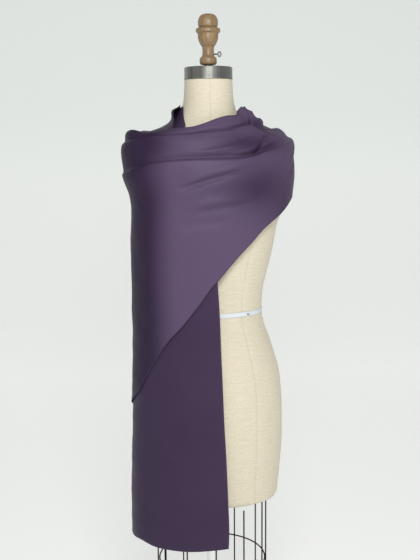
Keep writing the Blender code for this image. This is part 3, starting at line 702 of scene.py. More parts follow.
def spun(name, outline, steps, material, smooth_angle=35.0):
    """A round piece spun from its outline: radius and height, from the bottom up."""
    bm = bmesh.new()
    chain = [bm.verts.new((radius, 0.0, height)) for radius, height in outline]
    edges = [bm.edges.new(pair) for pair in zip(chain, chain[1:])]
    bmesh.ops.spin(
        bm, geom=chain + edges, cent=(0, 0, 0), axis=(0, 0, 1), angle=math.tau, steps=steps,
        use_merge=True,
    )
    bmesh.ops.remove_doubles(bm, verts=bm.verts, dist=0.00001)
    bmesh.ops.recalc_face_normals(bm, faces=bm.faces)
    return finish_piece(name, bm, material, smooth_angle)


def smooth_outline(outline, steps=4):
    """More points along an outline, through every point of it, without overshooting."""
    run = [0.0]
    for (r0, z0), (r1, z1) in zip(outline, outline[1:]):
        run.append(run[-1] + math.hypot(r1 - r0, z1 - z0))
    rows = tuple((s, r, z) for s, (r, z) in zip(run, outline))
    places = []
    for (low, _r, _z), (high, _r2, _z2) in zip(rows, rows[1:]):
        places += [low + (high - low) * k / steps for k in range(steps)]
    places.append(rows[-1][0])
    return [(read_row(rows, s, 1), read_row(rows, s, 2)) for s in places]


def ride_and_replace(piece, body, slot, *nodes):
    """Binds a piece to its body and hides the solids that it stands for; the slot is not used."""
    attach(piece, body)
    if nodes:
        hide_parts(*nodes)


# ---- Materials


def add_node(tree, kind, inputs=None, **attributes):
    """Adds a node, sets its attributes, and sets or links its inputs."""
    node = tree.nodes.new(kind)
    for name, value in attributes.items():
        setattr(node, name, value)
    for name, value in (inputs or {}).items():
        if isinstance(value, bpy.types.NodeSocket):
            tree.links.new(value, node.inputs[name])
        else:
            node.inputs[name].default_value = value
    return node


def new_material(name, **shader_values):
    """An empty material with its Principled shader, whose fixed values are set on its sockets."""
    material = bpy.data.materials.new(name)
    material.use_nodes = True
    tree = material.node_tree
    shader = tree.nodes["Principled BSDF"]
    for key, value in shader_values.items():
        shader.inputs[key.replace("_", " ")].default_value = value
    return material, tree, shader


def ramp_stops(ramp, stops):
    """Sets a colour ramp's stops: place and grey value or colour."""
    elements = ramp.color_ramp.elements
    while len(elements) < len(stops):
        elements.new(0.5)
    for element, (place, value) in zip(elements, stops):
        element.position = place
        element.color = value if isinstance(value, tuple) else (value, value, value, 1.0)


def purple_satin(settings):
    """Satin with fine floats in its bump, lit by a painted sheen across the chest and darkened by painted shade in
    its hollows.
    """
    material, tree, shader = new_material("purple_charmeuse_satin", Roughness=0.50, IOR=1.40)
    shader.inputs["Specular IOR Level"].default_value = 0.15
    shader.inputs["Specular Tint"].default_value = linear_colour("dccdea")
    shader.inputs["Coat Weight"].default_value = 0.06
    shader.inputs["Coat Roughness"].default_value = 0.38
    strip = add_node(tree, "ShaderNodeUVMap", uv_map="Strip").outputs["UV"]
    # Floats 0.2 mm apart are too fine to show, so they are drawn 0.9 mm apart
    threads = add_node(tree, "ShaderNodeMapping", {"Vector": strip, "Scale": (90.0, 1100.0, 1.0)})
    floats = add_node(tree, "ShaderNodeTexNoise", {"Vector": threads.outputs[0], "Scale": 1.0, "Detail": 2.0})
    # Creases 15 to 40 mm apart, longer along the strip
    press = add_node(tree, "ShaderNodeMapping", {"Vector": strip, "Scale": (11.0, 34.0, 1.0)})
    creases = add_node(tree, "ShaderNodeTexNoise", {"Vector": press.outputs[0], "Scale": 1.0, "Detail": 3.0})
    patch = add_node(tree, "ShaderNodeTexNoise", {"Vector": strip, "Scale": 9.0, "Detail": 2.0})
    # Painted sheen and shade: a value on each corner, with random patches mixed in, blends the satin's lit and
    # shaded colour, lighter across the chest and darker on its sides, in the hollows under its folds and on end A
    painted_sheen = add_node(tree, "ShaderNodeAttribute", attribute_name="painted_sheen").outputs["Fac"]
    uneven = add_node(
        tree, "ShaderNodeMath", {0: patch.outputs["Fac"], 1: 0.16, 2: painted_sheen}, operation="MULTIPLY_ADD"
    )
    patchy_painted_sheen = add_node(tree, "ShaderNodeMath", {0: uneven.outputs[0], 1: 0.08}, operation="SUBTRACT")
    patchy_painted_sheen.use_clamp = True
    tone = add_node(
        tree, "ShaderNodeMix",
        {0: patchy_painted_sheen.outputs[0], 6: tuple(settings.satin_painted_shade), 7: tuple(settings.satin)},
        data_type="RGBA",
    )
    # The hem is turned once and stitched along its inner edge
    edge = add_node(tree, "ShaderNodeAttribute", attribute_name="edge").outputs["Fac"]
    hem = add_node(tree, "ShaderNodeMapRange", {
        "Value": edge, "From Min": settings.hem_width * 0.7, "From Max": settings.hem_width,
        "To Min": 1.0, "To Max": 0.0,
    })
    hemmed = add_node(
        tree, "ShaderNodeMix",
        {0: hem.outputs[0], 6: tone.outputs[2], 7: tuple(settings.hem)},
        data_type="RGBA",
    )
    tree.links.new(hemmed.outputs[2], shader.inputs["Base Color"])
    fine = add_node(
        tree, "ShaderNodeBump", {"Height": floats.outputs["Fac"], "Strength": 0.10, "Distance": 0.0004}
    )
    broad = add_node(
        tree, "ShaderNodeBump",
        {"Height": creases.outputs["Fac"], "Strength": 0.35, "Distance": 0.004, "Normal": fine.outputs[0]},
    )
    tree.links.new(broad.outputs[0], shader.inputs["Normal"])
    return material


def linen_cover(settings):
    """Unbleached linen: a matt, slightly slubbed plain weave."""
    material, tree, shader = new_material("unbleached_linen_canvas", Roughness=0.88, IOR=1.5)
    shader.inputs["Sheen Weight"].default_value = 0.15
    place = add_node(tree, "ShaderNodeUVMap", uv_map="Cover").outputs["UV"]
    # Threads 0.6 mm apart are drawn 1.6 mm apart, so that they show
    warp = add_node(
        tree, "ShaderNodeTexWave",
        {"Vector": place, "Scale": 200.0, "Distortion": 1.5, "Detail": 1.0},
        wave_type="BANDS", bands_direction="X",
    )
    weft = add_node(
        tree, "ShaderNodeTexWave",
        {"Vector": place, "Scale": 200.0, "Distortion": 1.5, "Detail": 1.0},
        wave_type="BANDS", bands_direction="Y",
    )
    weave = add_node(
        tree, "ShaderNodeMath", {0: warp.outputs["Fac"], 1: weft.outputs["Fac"]}, operation="MULTIPLY"
    )
    long_threads = add_node(tree, "ShaderNodeMapping", {"Vector": place, "Scale": (34.0, 300.0, 1.0)})
    slubs = add_node(tree, "ShaderNodeTexNoise", {"Vector": long_threads.outputs[0], "Scale": 1.0, "Detail": 3.0})
    # Neps, the small knots in linen yarn, are drawn about 4 mm across
    neps = add_node(tree, "ShaderNodeTexNoise", {"Vector": place, "Scale": 260.0, "Detail": 2.0})
    yarn = add_node(
        tree, "ShaderNodeMath", {0: slubs.outputs["Fac"], 1: neps.outputs["Fac"]}, operation="MULTIPLY"
    )
    mixed = add_node(
        tree, "ShaderNodeMath", {0: yarn.outputs[0], 1: 2.2, 2: weave.outputs[0]}, operation="MULTIPLY_ADD"
    )
    tone = add_node(
        tree, "ShaderNodeMapRange", {"Value": mixed.outputs[0], "From Min": -0.2, "From Max": 2.2}
    )
    colour = add_node(
        tree, "ShaderNodeMix",
        {0: tone.outputs[0], 6: tuple(settings.linen_shade), 7: tuple(settings.linen)},
        data_type="RGBA",
    )
    # A stitched seam gathers a thin line of shade
    seam = add_node(tree, "ShaderNodeAttribute", attribute_name="seam").outputs["Fac"]
    line = add_node(
        tree, "ShaderNodeMix",
        {0: seam, 6: colour.outputs[2], 7: linear_colour("a9a28b")},
        data_type="RGBA",
    )
    tree.links.new(line.outputs[2], shader.inputs["Base Color"])
    bump = add_node(
        tree, "ShaderNodeBump", {"Height": mixed.outputs[0], "Strength": 0.25, "Distance": 0.0005}
    )
    tree.links.new(bump.outputs[0], shader.inputs["Normal"])
    return material


def brushed_steel(settings):
    """Spun steel: level brush marks smear its highlights up and down."""
    material, tree, shader = new_material("spun_brushed_steel", Metallic=1.0, Roughness=0.30)
    shader.inputs["Anisotropic"].default_value = 0.75
    shader.inputs["Anisotropic Rotation"].default_value = 0.25
    around = add_node(tree, "ShaderNodeTangent", direction_type="RADIAL", axis="Z")
    tree.links.new(around.outputs[0], shader.inputs["Tangent"])
    place = add_node(tree, "ShaderNodeTexCoord").outputs["Object"]
    # Brush marks about 0.4 mm apart and 60 mm long
    brush = add_node(tree, "ShaderNodeMapping", {"Vector": place, "Scale": (16.0, 16.0, 2500.0)})
    marks = add_node(tree, "ShaderNodeTexNoise", {"Vector": brush.outputs[0], "Scale": 1.0, "Detail": 2.0})
    # Darker vertical streaks run down it, 5 to 15 mm apart
    wipe = add_node(tree, "ShaderNodeMapping", {"Vector": place, "Scale": (140.0, 140.0, 6.0)})
    streaks = add_node(tree, "ShaderNodeTexNoise", {"Vector": wipe.outputs[0], "Scale": 1.0, "Detail": 3.0})
    streaked = add_node(
        tree, "ShaderNodeMapRange", {"Value": streaks.outputs["Fac"], "From Min": 0.35, "From Max": 0.65}
    )
    both = add_node(
        tree, "ShaderNodeMath", {0: marks.outputs["Fac"], 1: streaked.outputs[0]}, operation="MULTIPLY"
    )
    tone = add_node(
        tree, "ShaderNodeMix",
        {0: both.outputs[0], 6: tuple(settings.steel), 7: tuple(settings.dark_streak)},
        data_type="RGBA",
    )
    tree.links.new(tone.outputs[2], shader.inputs["Base Color"])
    rough = add_node(
        tree, "ShaderNodeMapRange", {"Value": marks.outputs["Fac"], "To Min": 0.48, "To Max": 0.60}
    )
    tree.links.new(rough.outputs[0], shader.inputs["Roughness"])
    bump = add_node(
        tree, "ShaderNodeBump", {"Height": marks.outputs["Fac"], "Strength": 0.08, "Distance": 0.0002}
    )
    tree.links.new(bump.outputs[0], shader.inputs["Normal"])
    return material


def turned_wood(settings):
    """Oiled beech turned on a lathe: fine upright grain with short darker flecks."""
    material, tree, shader = new_material("oiled_turned_beech", Roughness=0.45, IOR=1.5)
    shader.inputs["Coat Weight"].default_value = 0.15
    shader.inputs["Coat Roughness"].default_value = 0.30
    place = add_node(tree, "ShaderNodeTexCoord").outputs["Object"]
    # Growth rings about 3 mm apart, cut lengthwise
    grain = add_node(tree, "ShaderNodeMapping", {"Vector": place, "Scale": (330.0, 330.0, 22.0)})
    rings = add_node(tree, "ShaderNodeTexNoise", {"Vector": grain.outputs[0], "Scale": 1.0, "Detail": 5.0})
    pores = add_node(tree, "ShaderNodeMapping", {"Vector": place, "Scale": (2200.0, 2200.0, 160.0)})
    flecks = add_node(tree, "ShaderNodeTexNoise", {"Vector": pores.outputs[0], "Scale": 1.0, "Detail": 1.0})
    tone = add_node(
        tree, "ShaderNodeMapRange", {"Value": rings.outputs["Fac"], "From Min": 0.25, "From Max": 0.75}
    )
    colour = add_node(
        tree, "ShaderNodeMix",
        {0: tone.outputs[0], 6: tuple(settings.wood_dark), 7: tuple(settings.wood)},
        data_type="RGBA",
    )
    tree.links.new(colour.outputs[2], shader.inputs["Base Color"])
    bump = add_node(
        tree, "ShaderNodeBump", {"Height": flecks.outputs["Fac"], "Strength": 0.15, "Distance": 0.0003}
    )
    tree.links.new(bump.outputs[0], shader.inputs["Normal"])
    return material


def cotton_tape(settings):
    """Twill tape: bleached cotton with a fine slanting rib."""
    material, tree, shader = new_material("bleached_cotton_twill_tape", Roughness=0.85, IOR=1.5)
    place = add_node(tree, "ShaderNodeTexCoord").outputs["Object"]
    # Ribs 0.8 mm apart
    rib = add_node(
        tree, "ShaderNodeTexWave", {"Vector": place, "Scale": 390.0, "Distortion": 0.6},
        wave_type="BANDS", bands_direction="DIAGONAL",
    )
    tone = add_node(
        tree, "ShaderNodeMix",
        {0: rib.outputs["Fac"], 6: linear_colour("ced3d9"), 7: tuple(settings.tape)},
        data_type="RGBA",
    )
    tree.links.new(tone.outputs[2], shader.inputs["Base Color"])
    bump = add_node(
        tree, "ShaderNodeBump", {"Height": rib.outputs["Fac"], "Strength": 0.2, "Distance": 0.0003}
    )
    tree.links.new(bump.outputs[0], shader.inputs["Normal"])
    return material


def speckled_finish(name, colour, roughness, metallic, grain, spread=0.12, gleam=0.5):
    """A painted or moulded finish with a slight grain in its colour, gloss and height."""
    material, tree, shader = new_material(name, Roughness=roughness, Metallic=metallic)
    shader.inputs["Specular IOR Level"].default_value = gleam
    place = add_node(tree, "ShaderNodeTexCoord").outputs["Object"]
    speck = add_node(tree, "ShaderNodeTexNoise", {"Vector": place, "Scale": 1.0 / grain, "Detail": 3.0})
    light = tuple(min(value * (1.0 + 3.0 * spread), 1.0) for value in colour[:3]) + (1.0,)
    tone = add_node(
        tree, "ShaderNodeMix", {0: speck.outputs["Fac"], 6: tuple(colour), 7: light}, data_type="RGBA"
    )
    tree.links.new(tone.outputs[2], shader.inputs["Base Color"])
    gloss = add_node(
        tree, "ShaderNodeMapRange",
        {"Value": speck.outputs["Fac"], "To Min": roughness * (1 - spread), "To Max": roughness * (1 + spread)},
    )
    tree.links.new(gloss.outputs[0], shader.inputs["Roughness"])
    bump = add_node(
        tree, "ShaderNodeBump", {"Height": speck.outputs["Fac"], "Strength": 0.10, "Distance": 0.0002}
    )
    tree.links.new(bump.outputs[0], shader.inputs["Normal"])
    return material


def backdrop_paper(settings):
    """Matt paper that glows a little, greyer and greener up its wall."""
    material, tree, shader = new_material("matt_backdrop_paper", Roughness=0.9)
    place = add_node(tree, "ShaderNodeTexCoord").outputs["Object"]
    axes = add_node(tree, "ShaderNodeSeparateXYZ", {"Vector": place})
    # The paper's height in metres, from the floor to the top of the picture
    rise = add_node(
        tree, "ShaderNodeMapRange", {"Value": axes.outputs["Z"], "From Min": 0.0, "From Max": 1.6}
    )
    tone = add_node(
        tree, "ShaderNodeMix",
        {0: rise.outputs[0], 6: tuple(settings.floor), 7: tuple(settings.wall)},
        data_type="RGBA",
    )
    tree.links.new(tone.outputs[2], shader.inputs["Base Color"])
    tree.links.new(tone.outputs[2], shader.inputs["Emission Color"])
    shader.inputs["Emission Strength"].default_value = settings.backdrop_glow
    # Paper tooth 2 mm across
    tooth = add_node(tree, "ShaderNodeTexNoise", {"Vector": place, "Scale": 500.0, "Detail": 2.0})
    bump = add_node(
        tree, "ShaderNodeBump", {"Height": tooth.outputs["Fac"], "Strength": 0.05, "Distance": 0.0002}
    )
    tree.links.new(bump.outputs[0], shader.inputs["Normal"])
    return material


def made_once(name, make):
    """A material that several pieces share, made the first time it is asked for."""
    return bpy.data.materials.get(name) or make()


def steel_finish():
    stand = bpy.context.scene.stand_settings
    return made_once("spun_brushed_steel", lambda: brushed_steel(stand))


def tarnished_finish():
    """Nickel plate gone dull: darker patches about 1.5 mm across."""
    colour = bpy.context.scene.stand_settings.screw
    make = functools.partial(speckled_finish, "tarnished_nickel_plate", colour, 0.40, 1.0, 0.0015)
    return made_once("tarnished_nickel_plate", make)


def enamel_finish():
    """Black stove enamel on drawn wire: a hard gloss with fine orange peel, 1 mm across."""
    colour = bpy.context.scene.stand_settings.enamel
    make = functools.partial(
        speckled_finish, "black_enamelled_wire", colour, 0.60, 0.0, 0.001, gleam=0.15
    )
    return made_once("black_enamelled_wire", make)


def chrome_finish():
    """Chromed tube: a bright mirror, slightly dulled by handling in patches 4 mm across."""
    colour = linear_colour("dcdedd")
    make = functools.partial(speckled_finish, "chromed_steel_tube", colour, 0.14, 1.0, 0.004, 0.04)
    return made_once("chromed_steel_tube", make)


def powder_finish():
    """Powder coat on steel: a satin grey with a grit of about 0.8 mm."""
    colour = bpy.context.scene.stand_settings.powder
    make = functools.partial(speckled_finish, "grey_powder_coated_steel", colour, 0.48, 0.2, 0.0008)
    return made_once("grey_powder_coated_steel", make)


# ---- The stole


def read_stops(stops, step):
    """A straight-line reading of a short list of steps and values."""
    for (low, near), (high, far) in zip(stops, stops[1:]):
        if step <= high:
            return near + (far - near) * (step - low) / (high - low)
    raise ValueError("a step lies past the end of its list")


def strip_place(column, row):
    """The angle and height of a corner from end B to the seam at the back."""
    share = column / WRAP_COLUMNS[-1][0]
    angle = read_stops(WRAP_COLUMNS, column)
    top = distance_at(angle, read_row(NECK_EDGE, angle))
    bottom = distance_at(angle, read_row(OUTER_EDGE, angle))
    height = height_at(angle, top + (bottom - top) * read_stops(WIDTH_STOPS, row))
    if share < 0.1:
        first = WRAP_COLUMNS[1][1]
        along = (angle - WRAP_COLUMNS[0][1]) / (first - WRAP_COLUMNS[0][1])
        if along < 1.0:
            hem = read_row(END_B_HEM, height)
            angle = hem + (first - hem) * along
    return angle, height


def panel_place(column, row):
    """The angle and height of a corner of end A, from the seam at the back to its free side."""
    angle = read_stops(PANEL_COLUMNS, column)
    start, end = PANEL_COLUMNS[0][1], PANEL_COLUMNS[-1][1]
    top = distance_at(angle, read_row(NECK_EDGE, angle))
    middle = distance_at(angle, SIDE_HEIGHT)
    bottom = distance_at(angle, read_row(END_A_HEM, angle))
    if row <= WIDTH_ROWS:
        distance = top + (middle - top) * read_stops(WIDTH_STOPS, row)
    else:
        distance = middle + (bottom - middle) * (row - WIDTH_ROWS) / PANEL_ROWS
    height = height_at(angle, distance)
    side = read_row(END_A_SIDE, height)
    return start + (side - start) * (angle - start) / (end - start), height


def ripple(angle, height, depth):
    """Small uneven ripples, longer along the strip than across it."""
    place = Vector((angle * 0.045, height * 26.0, 3.7))
    return depth * (noise.noise(place) + 0.5 * noise.noise(place * 2.3))


def hem_distance(angle, height, column, row):
    """How far a corner of the strip lies from its nearest free edge, at most 30 mm."""
    distance = distance_at(angle, height)
    ends = []
    if row >= 0:
        lower = OUTER_EDGE if angle <= BACK_SEAM_ANGLE else END_A_HEM
        ends.append(abs(distance_at(angle, read_row(lower, angle)) - distance))
        ends.append(abs(distance - distance_at(angle, read_row(NECK_EDGE, angle))))
    reach = math.radians(1.0) * 0.16
    if angle < -90.0:
        ends.append(abs(angle - read_row(END_B_HEM, height)) * reach)
    if angle > 300.0:
        ends.append(abs(angle - read_row(END_A_SIDE, height)) * reach)
    if angle >= BACK_SEAM_ANGLE and height < SIDE_HEIGHT:
        ends.append((angle - BACK_SEAM_ANGLE) * reach)
    return min(ends + [0.030])


def painted_sheen_at(angle, height):
    """How much painted sheen the satin gets: most across the chest, least on end A, less in the painted shade of
    the hollows.
    """
    across = ease(angle, *PAINTED_SHEEN_TURN)
    for middle, level, reach, spread, painted_shade in PAINTED_SHADE_HOLLOWS.values():
        near = math.exp(-(((angle - middle) / reach) ** 2) - ((height - level) / spread) ** 2)
        across *= 1.0 - painted_shade * near
    onto_back = ease(angle, *PAINTED_SHEEN_RETURN)
    return across + (PANEL_PAINTED_SHEEN - across) * onto_back


def stole_vertex(angle, height, edge, settings):
    """A point of the strip's face, with its folds, ripples and rolled hem."""
    calm = ease(edge, 0.0, 0.02)
    lift = layer_offset(angle) + fold_lift(angle, height)
    lift += ripple(angle, height, settings.ripple) * calm
    lift += settings.hem_rise * math.exp(-(((edge - settings.hem_width / 2) / (settings.hem_width / 2)) ** 2))
    return drape_point(angle, height) + lift * facing(angle, height)


class STOLE_OT_strip(bpy.types.Operator):
    """Drapes the stole's strip over the form"""

    bl_idname = "stole.strip"
    bl_label = "Drape the stole"

    def execute(self, context):
        settings = context.scene.stole_settings
        bm = bmesh.new()
        edge_layer = bm.verts.layers.float.new("edge")
        painted_sheen_layer = bm.verts.layers.float.new("painted_sheen")
        uv_layer = bm.loops.layers.uv.new("Strip")
        spots = {}
        for columns, rows, place in (
            (WRAP_COLUMNS[-1][0], WIDTH_ROWS, strip_place),
            (PANEL_COLUMNS[-1][0], WIDTH_ROWS + PANEL_ROWS, panel_place),
        ):
            grid = grid_sheet(bm, columns, rows, lambda column, row: (0.0, 0.0, 0.0))
            for (column, row), vert in grid.items():
                angle, height = place(column, row)
                edge = hem_distance(angle, height, column, row)
                vert.co = stole_vertex(angle, height, edge, settings)
                vert[edge_layer] = edge
                # Each corner's share of painted sheen, less in the painted shade of the hollows
                vert[painted_sheen_layer] = painted_sheen_at(angle, height)
                spots[vert] = (angle * math.radians(1.0) * 0.16, distance_at(angle, height))
        for face in bm.faces:
            for loop in face.loops:
                loop[uv_layer].uv = spots[loop.vert]
        bmesh.ops.remove_doubles(bm, verts=bm.verts, dist=0.00002)
        bmesh.ops.recalc_face_normals(bm, faces=bm.faces)
        if sum(face.normal.dot(face.calc_center_median()) for face in bm.faces) < 0:
            bmesh.ops.reverse_faces(bm, faces=bm.faces)
        satin = made_once("purple_charmeuse_satin", lambda: purple_satin(settings))
        stole = finish_piece("satin_stole", bm, satin, None)
        wall = stole.modifiers.new("Cloth thickness", "SOLIDIFY")
        wall.thickness = settings.thickness
        wall.offset = -1.0
        wall.use_even_offset = True
        ride_and_replace(stole, "stand", "satin", "front_wrap", "tail", "back_wrap", "front_panel")
        return {"FINISHED"}


class STOLE_OT_neck_fold(bpy.types.Operator):
    """Folds the strip's inner edge in against the right of the neck"""

    bl_idname = "stole.neck_fold"
    bl_label = "Fold the inner edge"

    def execute(self, context):
        settings = context.scene.stole_settings
        columns, rows = 72, 24
        first, last = NECK_FOLD[0][0], NECK_FOLD[-1][0]
        bm = bmesh.new()
        edge_layer = bm.verts.layers.float.new("edge")
        painted_sheen_layer = bm.verts.layers.float.new("painted_sheen")
        uv_layer = bm.loops.layers.uv.new("Strip")
        spots = {}
        grid = grid_sheet(bm, columns, rows, lambda column, row: (0.0, 0.0, 0.0))
        for (column, row), vert in grid.items():
            angle = first + (last - first) * column / columns
            top = read_row(NECK_FOLD, angle, 1)
            foot = read_row(NECK_FOLD, angle, 2)
            height = top + (foot - top) * row / rows
            outward = NECK_FOLD_STANDOFF + WALL
            vert.co = torso_point(height, angle, outward)
            vert[edge_layer] = top - height
            # The fold takes end A's low share of painted sheen
            vert[painted_sheen_layer] = PANEL_PAINTED_SHEEN
            spots[vert] = (angle * math.radians(1.0) * 0.06, height)
        for face in bm.faces:
            for loop in face.loops:
                loop[uv_layer].uv = spots[loop.vert]
        bmesh.ops.recalc_face_normals(bm, faces=bm.faces)
        outwards = sum(
            face.normal.x * face.calc_center_median().x + face.normal.y * face.calc_center_median().y
            for face in bm.faces
        )
        if outwards < 0:
            bmesh.ops.reverse_faces(bm, faces=bm.faces)
        satin = made_once("purple_charmeuse_satin", lambda: purple_satin(settings))
        fold = finish_piece("satin_neck_fold", bm, satin, None)
        wall = fold.modifiers.new("Cloth thickness", "SOLIDIFY")
        wall.thickness = settings.thickness
        wall.offset = -1.0
        ride_and_replace(fold, "stand", "satin", "neck_fold")
        return {"FINISHED"}


# ---- The dress form


class STOLE_OT_torso(bpy.types.Operator):
    """Builds the linen-covered form with its sewn seams"""

    bl_idname = "stole.torso"
    bl_label = "Build the form"

    def execute(self, context):
        settings = context.scene.form_settings
        columns, rows = 288, 190
        low, high = TORSO_SECTIONS[0][0], TORSO_SECTIONS[-1][0]
        bm = bmesh.new()
        seam_layer = bm.verts.layers.float.new("seam")
        uv_layer = bm.loops.layers.uv.new("Cover")
        spots = {}
        grid = grid_sheet(bm, columns, rows, lambda column, row: (0.0, 0.0, 0.0))
        for (column, row), vert in grid.items():
            angle = 360.0 * column / columns
            height = high + (low - high) * row / rows
            spots[vert] = (math.radians(angle) * COVER_RADIUS, height)
            seams = FORM_SEAMS if height < PRINCESS_TOP else NECK_SEAMS
            away = min(abs((angle - seam + 180.0) % 360.0 - 180.0) for seam in seams)
            groove = math.exp(-((away / SEAM_REACH) ** 2))
            vert.co = torso_point(height, angle, -settings.seam_depth * groove)
            vert[seam_layer] = 0.22 * math.exp(-((away / (0.6 * SEAM_REACH)) ** 2))
        for face in bm.faces:
            for loop in face.loops:
                loop[uv_layer].uv = spots[loop.vert]
        bmesh.ops.remove_doubles(bm, verts=bm.verts, dist=0.00002)
        rims = [edge for edge in bm.edges if edge.is_boundary]
        bmesh.ops.holes_fill(bm, edges=rims, sides=0)
        bmesh.ops.recalc_face_normals(bm, faces=bm.faces)
        linen = made_once("unbleached_linen_canvas", lambda: linen_cover(settings))
        torso = finish_piece("linen_torso", bm, linen)
        ride_and_replace(torso, "stand", "linen", "torso")
        return {"FINISHED"}


class STOLE_OT_waist_tape(bpy.types.Operator):
    """Wraps the tape round the waist, with its lap and its pin"""

    bl_idname = "stole.waist_tape"
    bl_label = "Wrap the waist tape"

    def execute(self, context):
        settings = context.scene.form_settings
        thickness = settings.tape_thickness
        start, turn = PIN_ANGLE - 14.0, 360.0 + 18.0
        columns, rows = 252, 4
        bm = bmesh.new()

        def place(column, row):
            angle = start + turn * column / columns
            over = ease(column / columns, 1.0 - 30.0 / turn, 1.0 - 20.0 / turn)
            height = TAPE_HEIGHT + TAPE_WIDTH * (0.5 - row / rows) + 0.0005 * over
            return torso_point(height, angle, GAP + thickness + (thickness + 0.0002) * over)

        grid_sheet(bm, columns, rows, place)
        bmesh.ops.recalc_face_normals(bm, faces=bm.faces)
        if sum(face.normal.x * face.calc_center_median().x for face in bm.faces) < 0:
            bmesh.ops.reverse_faces(bm, faces=bm.faces)
        cotton = made_once("bleached_cotton_twill_tape", lambda: cotton_tape(settings))
        tape = finish_piece("cotton_waist_tape", bm, cotton)
        wall = tape.modifiers.new("Tape thickness", "SOLIDIFY")
        wall.thickness = thickness
        wall.offset = -1.0
        ride_and_replace(tape, "stand", "tape", "waist_tape")

        bm = bmesh.new()
        bmesh.ops.create_uvsphere(bm, u_segments=24, v_segments=16, radius=PIN_RADIUS)
        low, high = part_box("waist_pin")
        middle = (Vector(low) + Vector(high)) / 2
        bmesh.ops.translate(bm, verts=bm.verts, vec=middle)
        glass = functools.partial(
            speckled_finish, "black_glass_pin_head", settings.pin, 0.15, 0.0, 0.0015
        )
        pin = finish_piece("waist_pin_head", bm, made_once("black_glass_pin_head", glass))
        ride_and_replace(pin, "stand", "pin", "waist_pin")
        return {"FINISHED"}


class STOLE_OT_neck_cap(bpy.types.Operator):
    """Spins the steel cap that closes the neck, and finishes the stem over it"""

    bl_idname = "stole.neck_cap"
    bl_label = "Spin the neck cap"

    def execute(self, context):
        stand = context.scene.stand_settings
        rim = NECK_RADIUS + 0.0008
        outline = [(0.0, CAP_BOTTOM), (NECK_RADIUS - 0.001, CAP_BOTTOM), (rim, CAP_BOTTOM + 0.0008)]
        outline += [(rim, CAP_BOTTOM + 0.0035), (rim - 0.0005, CAP_BOTTOM + 0.0042)]
        for step in range(7):
            turn = math.radians(90.0) * step / 6
            outline.append((
                rim - 0.0005 - 0.0025 * (1 - math.cos(turn)), CAP_TOP - 0.0025 * (1 - math.sin(turn)),
            ))
        outline += [(0.020, CAP_TOP), (0.0, CAP_TOP)]
        cap = spun("steel_neck_cap", outline, 2 * stand.turning_steps, steel_finish(), 50.0)
        ride_and_replace(cap, "stand", "steel", "neck_cap")
        stem = bpy.data.objects["finial_stem"]
        stem.data.materials.clear()
        stem.data.materials.append(powder_finish())
        return {"FINISHED"}


class STOLE_OT_finial(bpy.types.Operator):
    """Turns the wooden finial, with its bore and the hole for the thumb screw"""

    bl_idname = "stole.finial"
    bl_label = "Turn the finial"

    def execute(self, context):
        stand = context.scene.stand_settings
        bore = STEM_RADIUS + GAP
        outline = [(0.0, STEM_TOP + GAP), (bore, STEM_TOP + GAP), (bore, FINIAL_BOTTOM)]
        outline += [(radius, FINIAL_BOTTOM + rise) for radius, rise in smooth_outline(FINIAL_OUTLINE)]
        wood = made_once("oiled_turned_beech", lambda: turned_wood(stand))
        finial = spun("beech_finial", outline, stand.turning_steps, wood, 45.0)
        bm = bmesh.new()
        middle = Matrix.Translation((0.0225, 0.0, SCREW_HEIGHT))
        bmesh.ops.create_cone(
            bm, cap_ends=True, segments=24, radius1=SCREW_RADIUS + GAP, radius2=SCREW_RADIUS + GAP,
            depth=0.035, matrix=middle @ Matrix.Rotation(math.radians(90.0), 4, "Y"),
        )
        drill = finish_piece("screw_hole_drill", bm, wood)
        cut = finial.modifiers.new("Screw hole", "BOOLEAN")
        cut.object = drill
        cut.operation = "DIFFERENCE"
        cut.solver = "EXACT"
        with context.temp_override(object=finial, active_object=finial):
            bpy.ops.object.modifier_apply(modifier=cut.name)
        bpy.data.objects.remove(drill, do_unlink=True)
        finial.data.set_sharp_from_angle(angle=math.radians(45.0))
        ride_and_replace(finial, "stand", "wood", "finial")
        return {"FINISHED"}


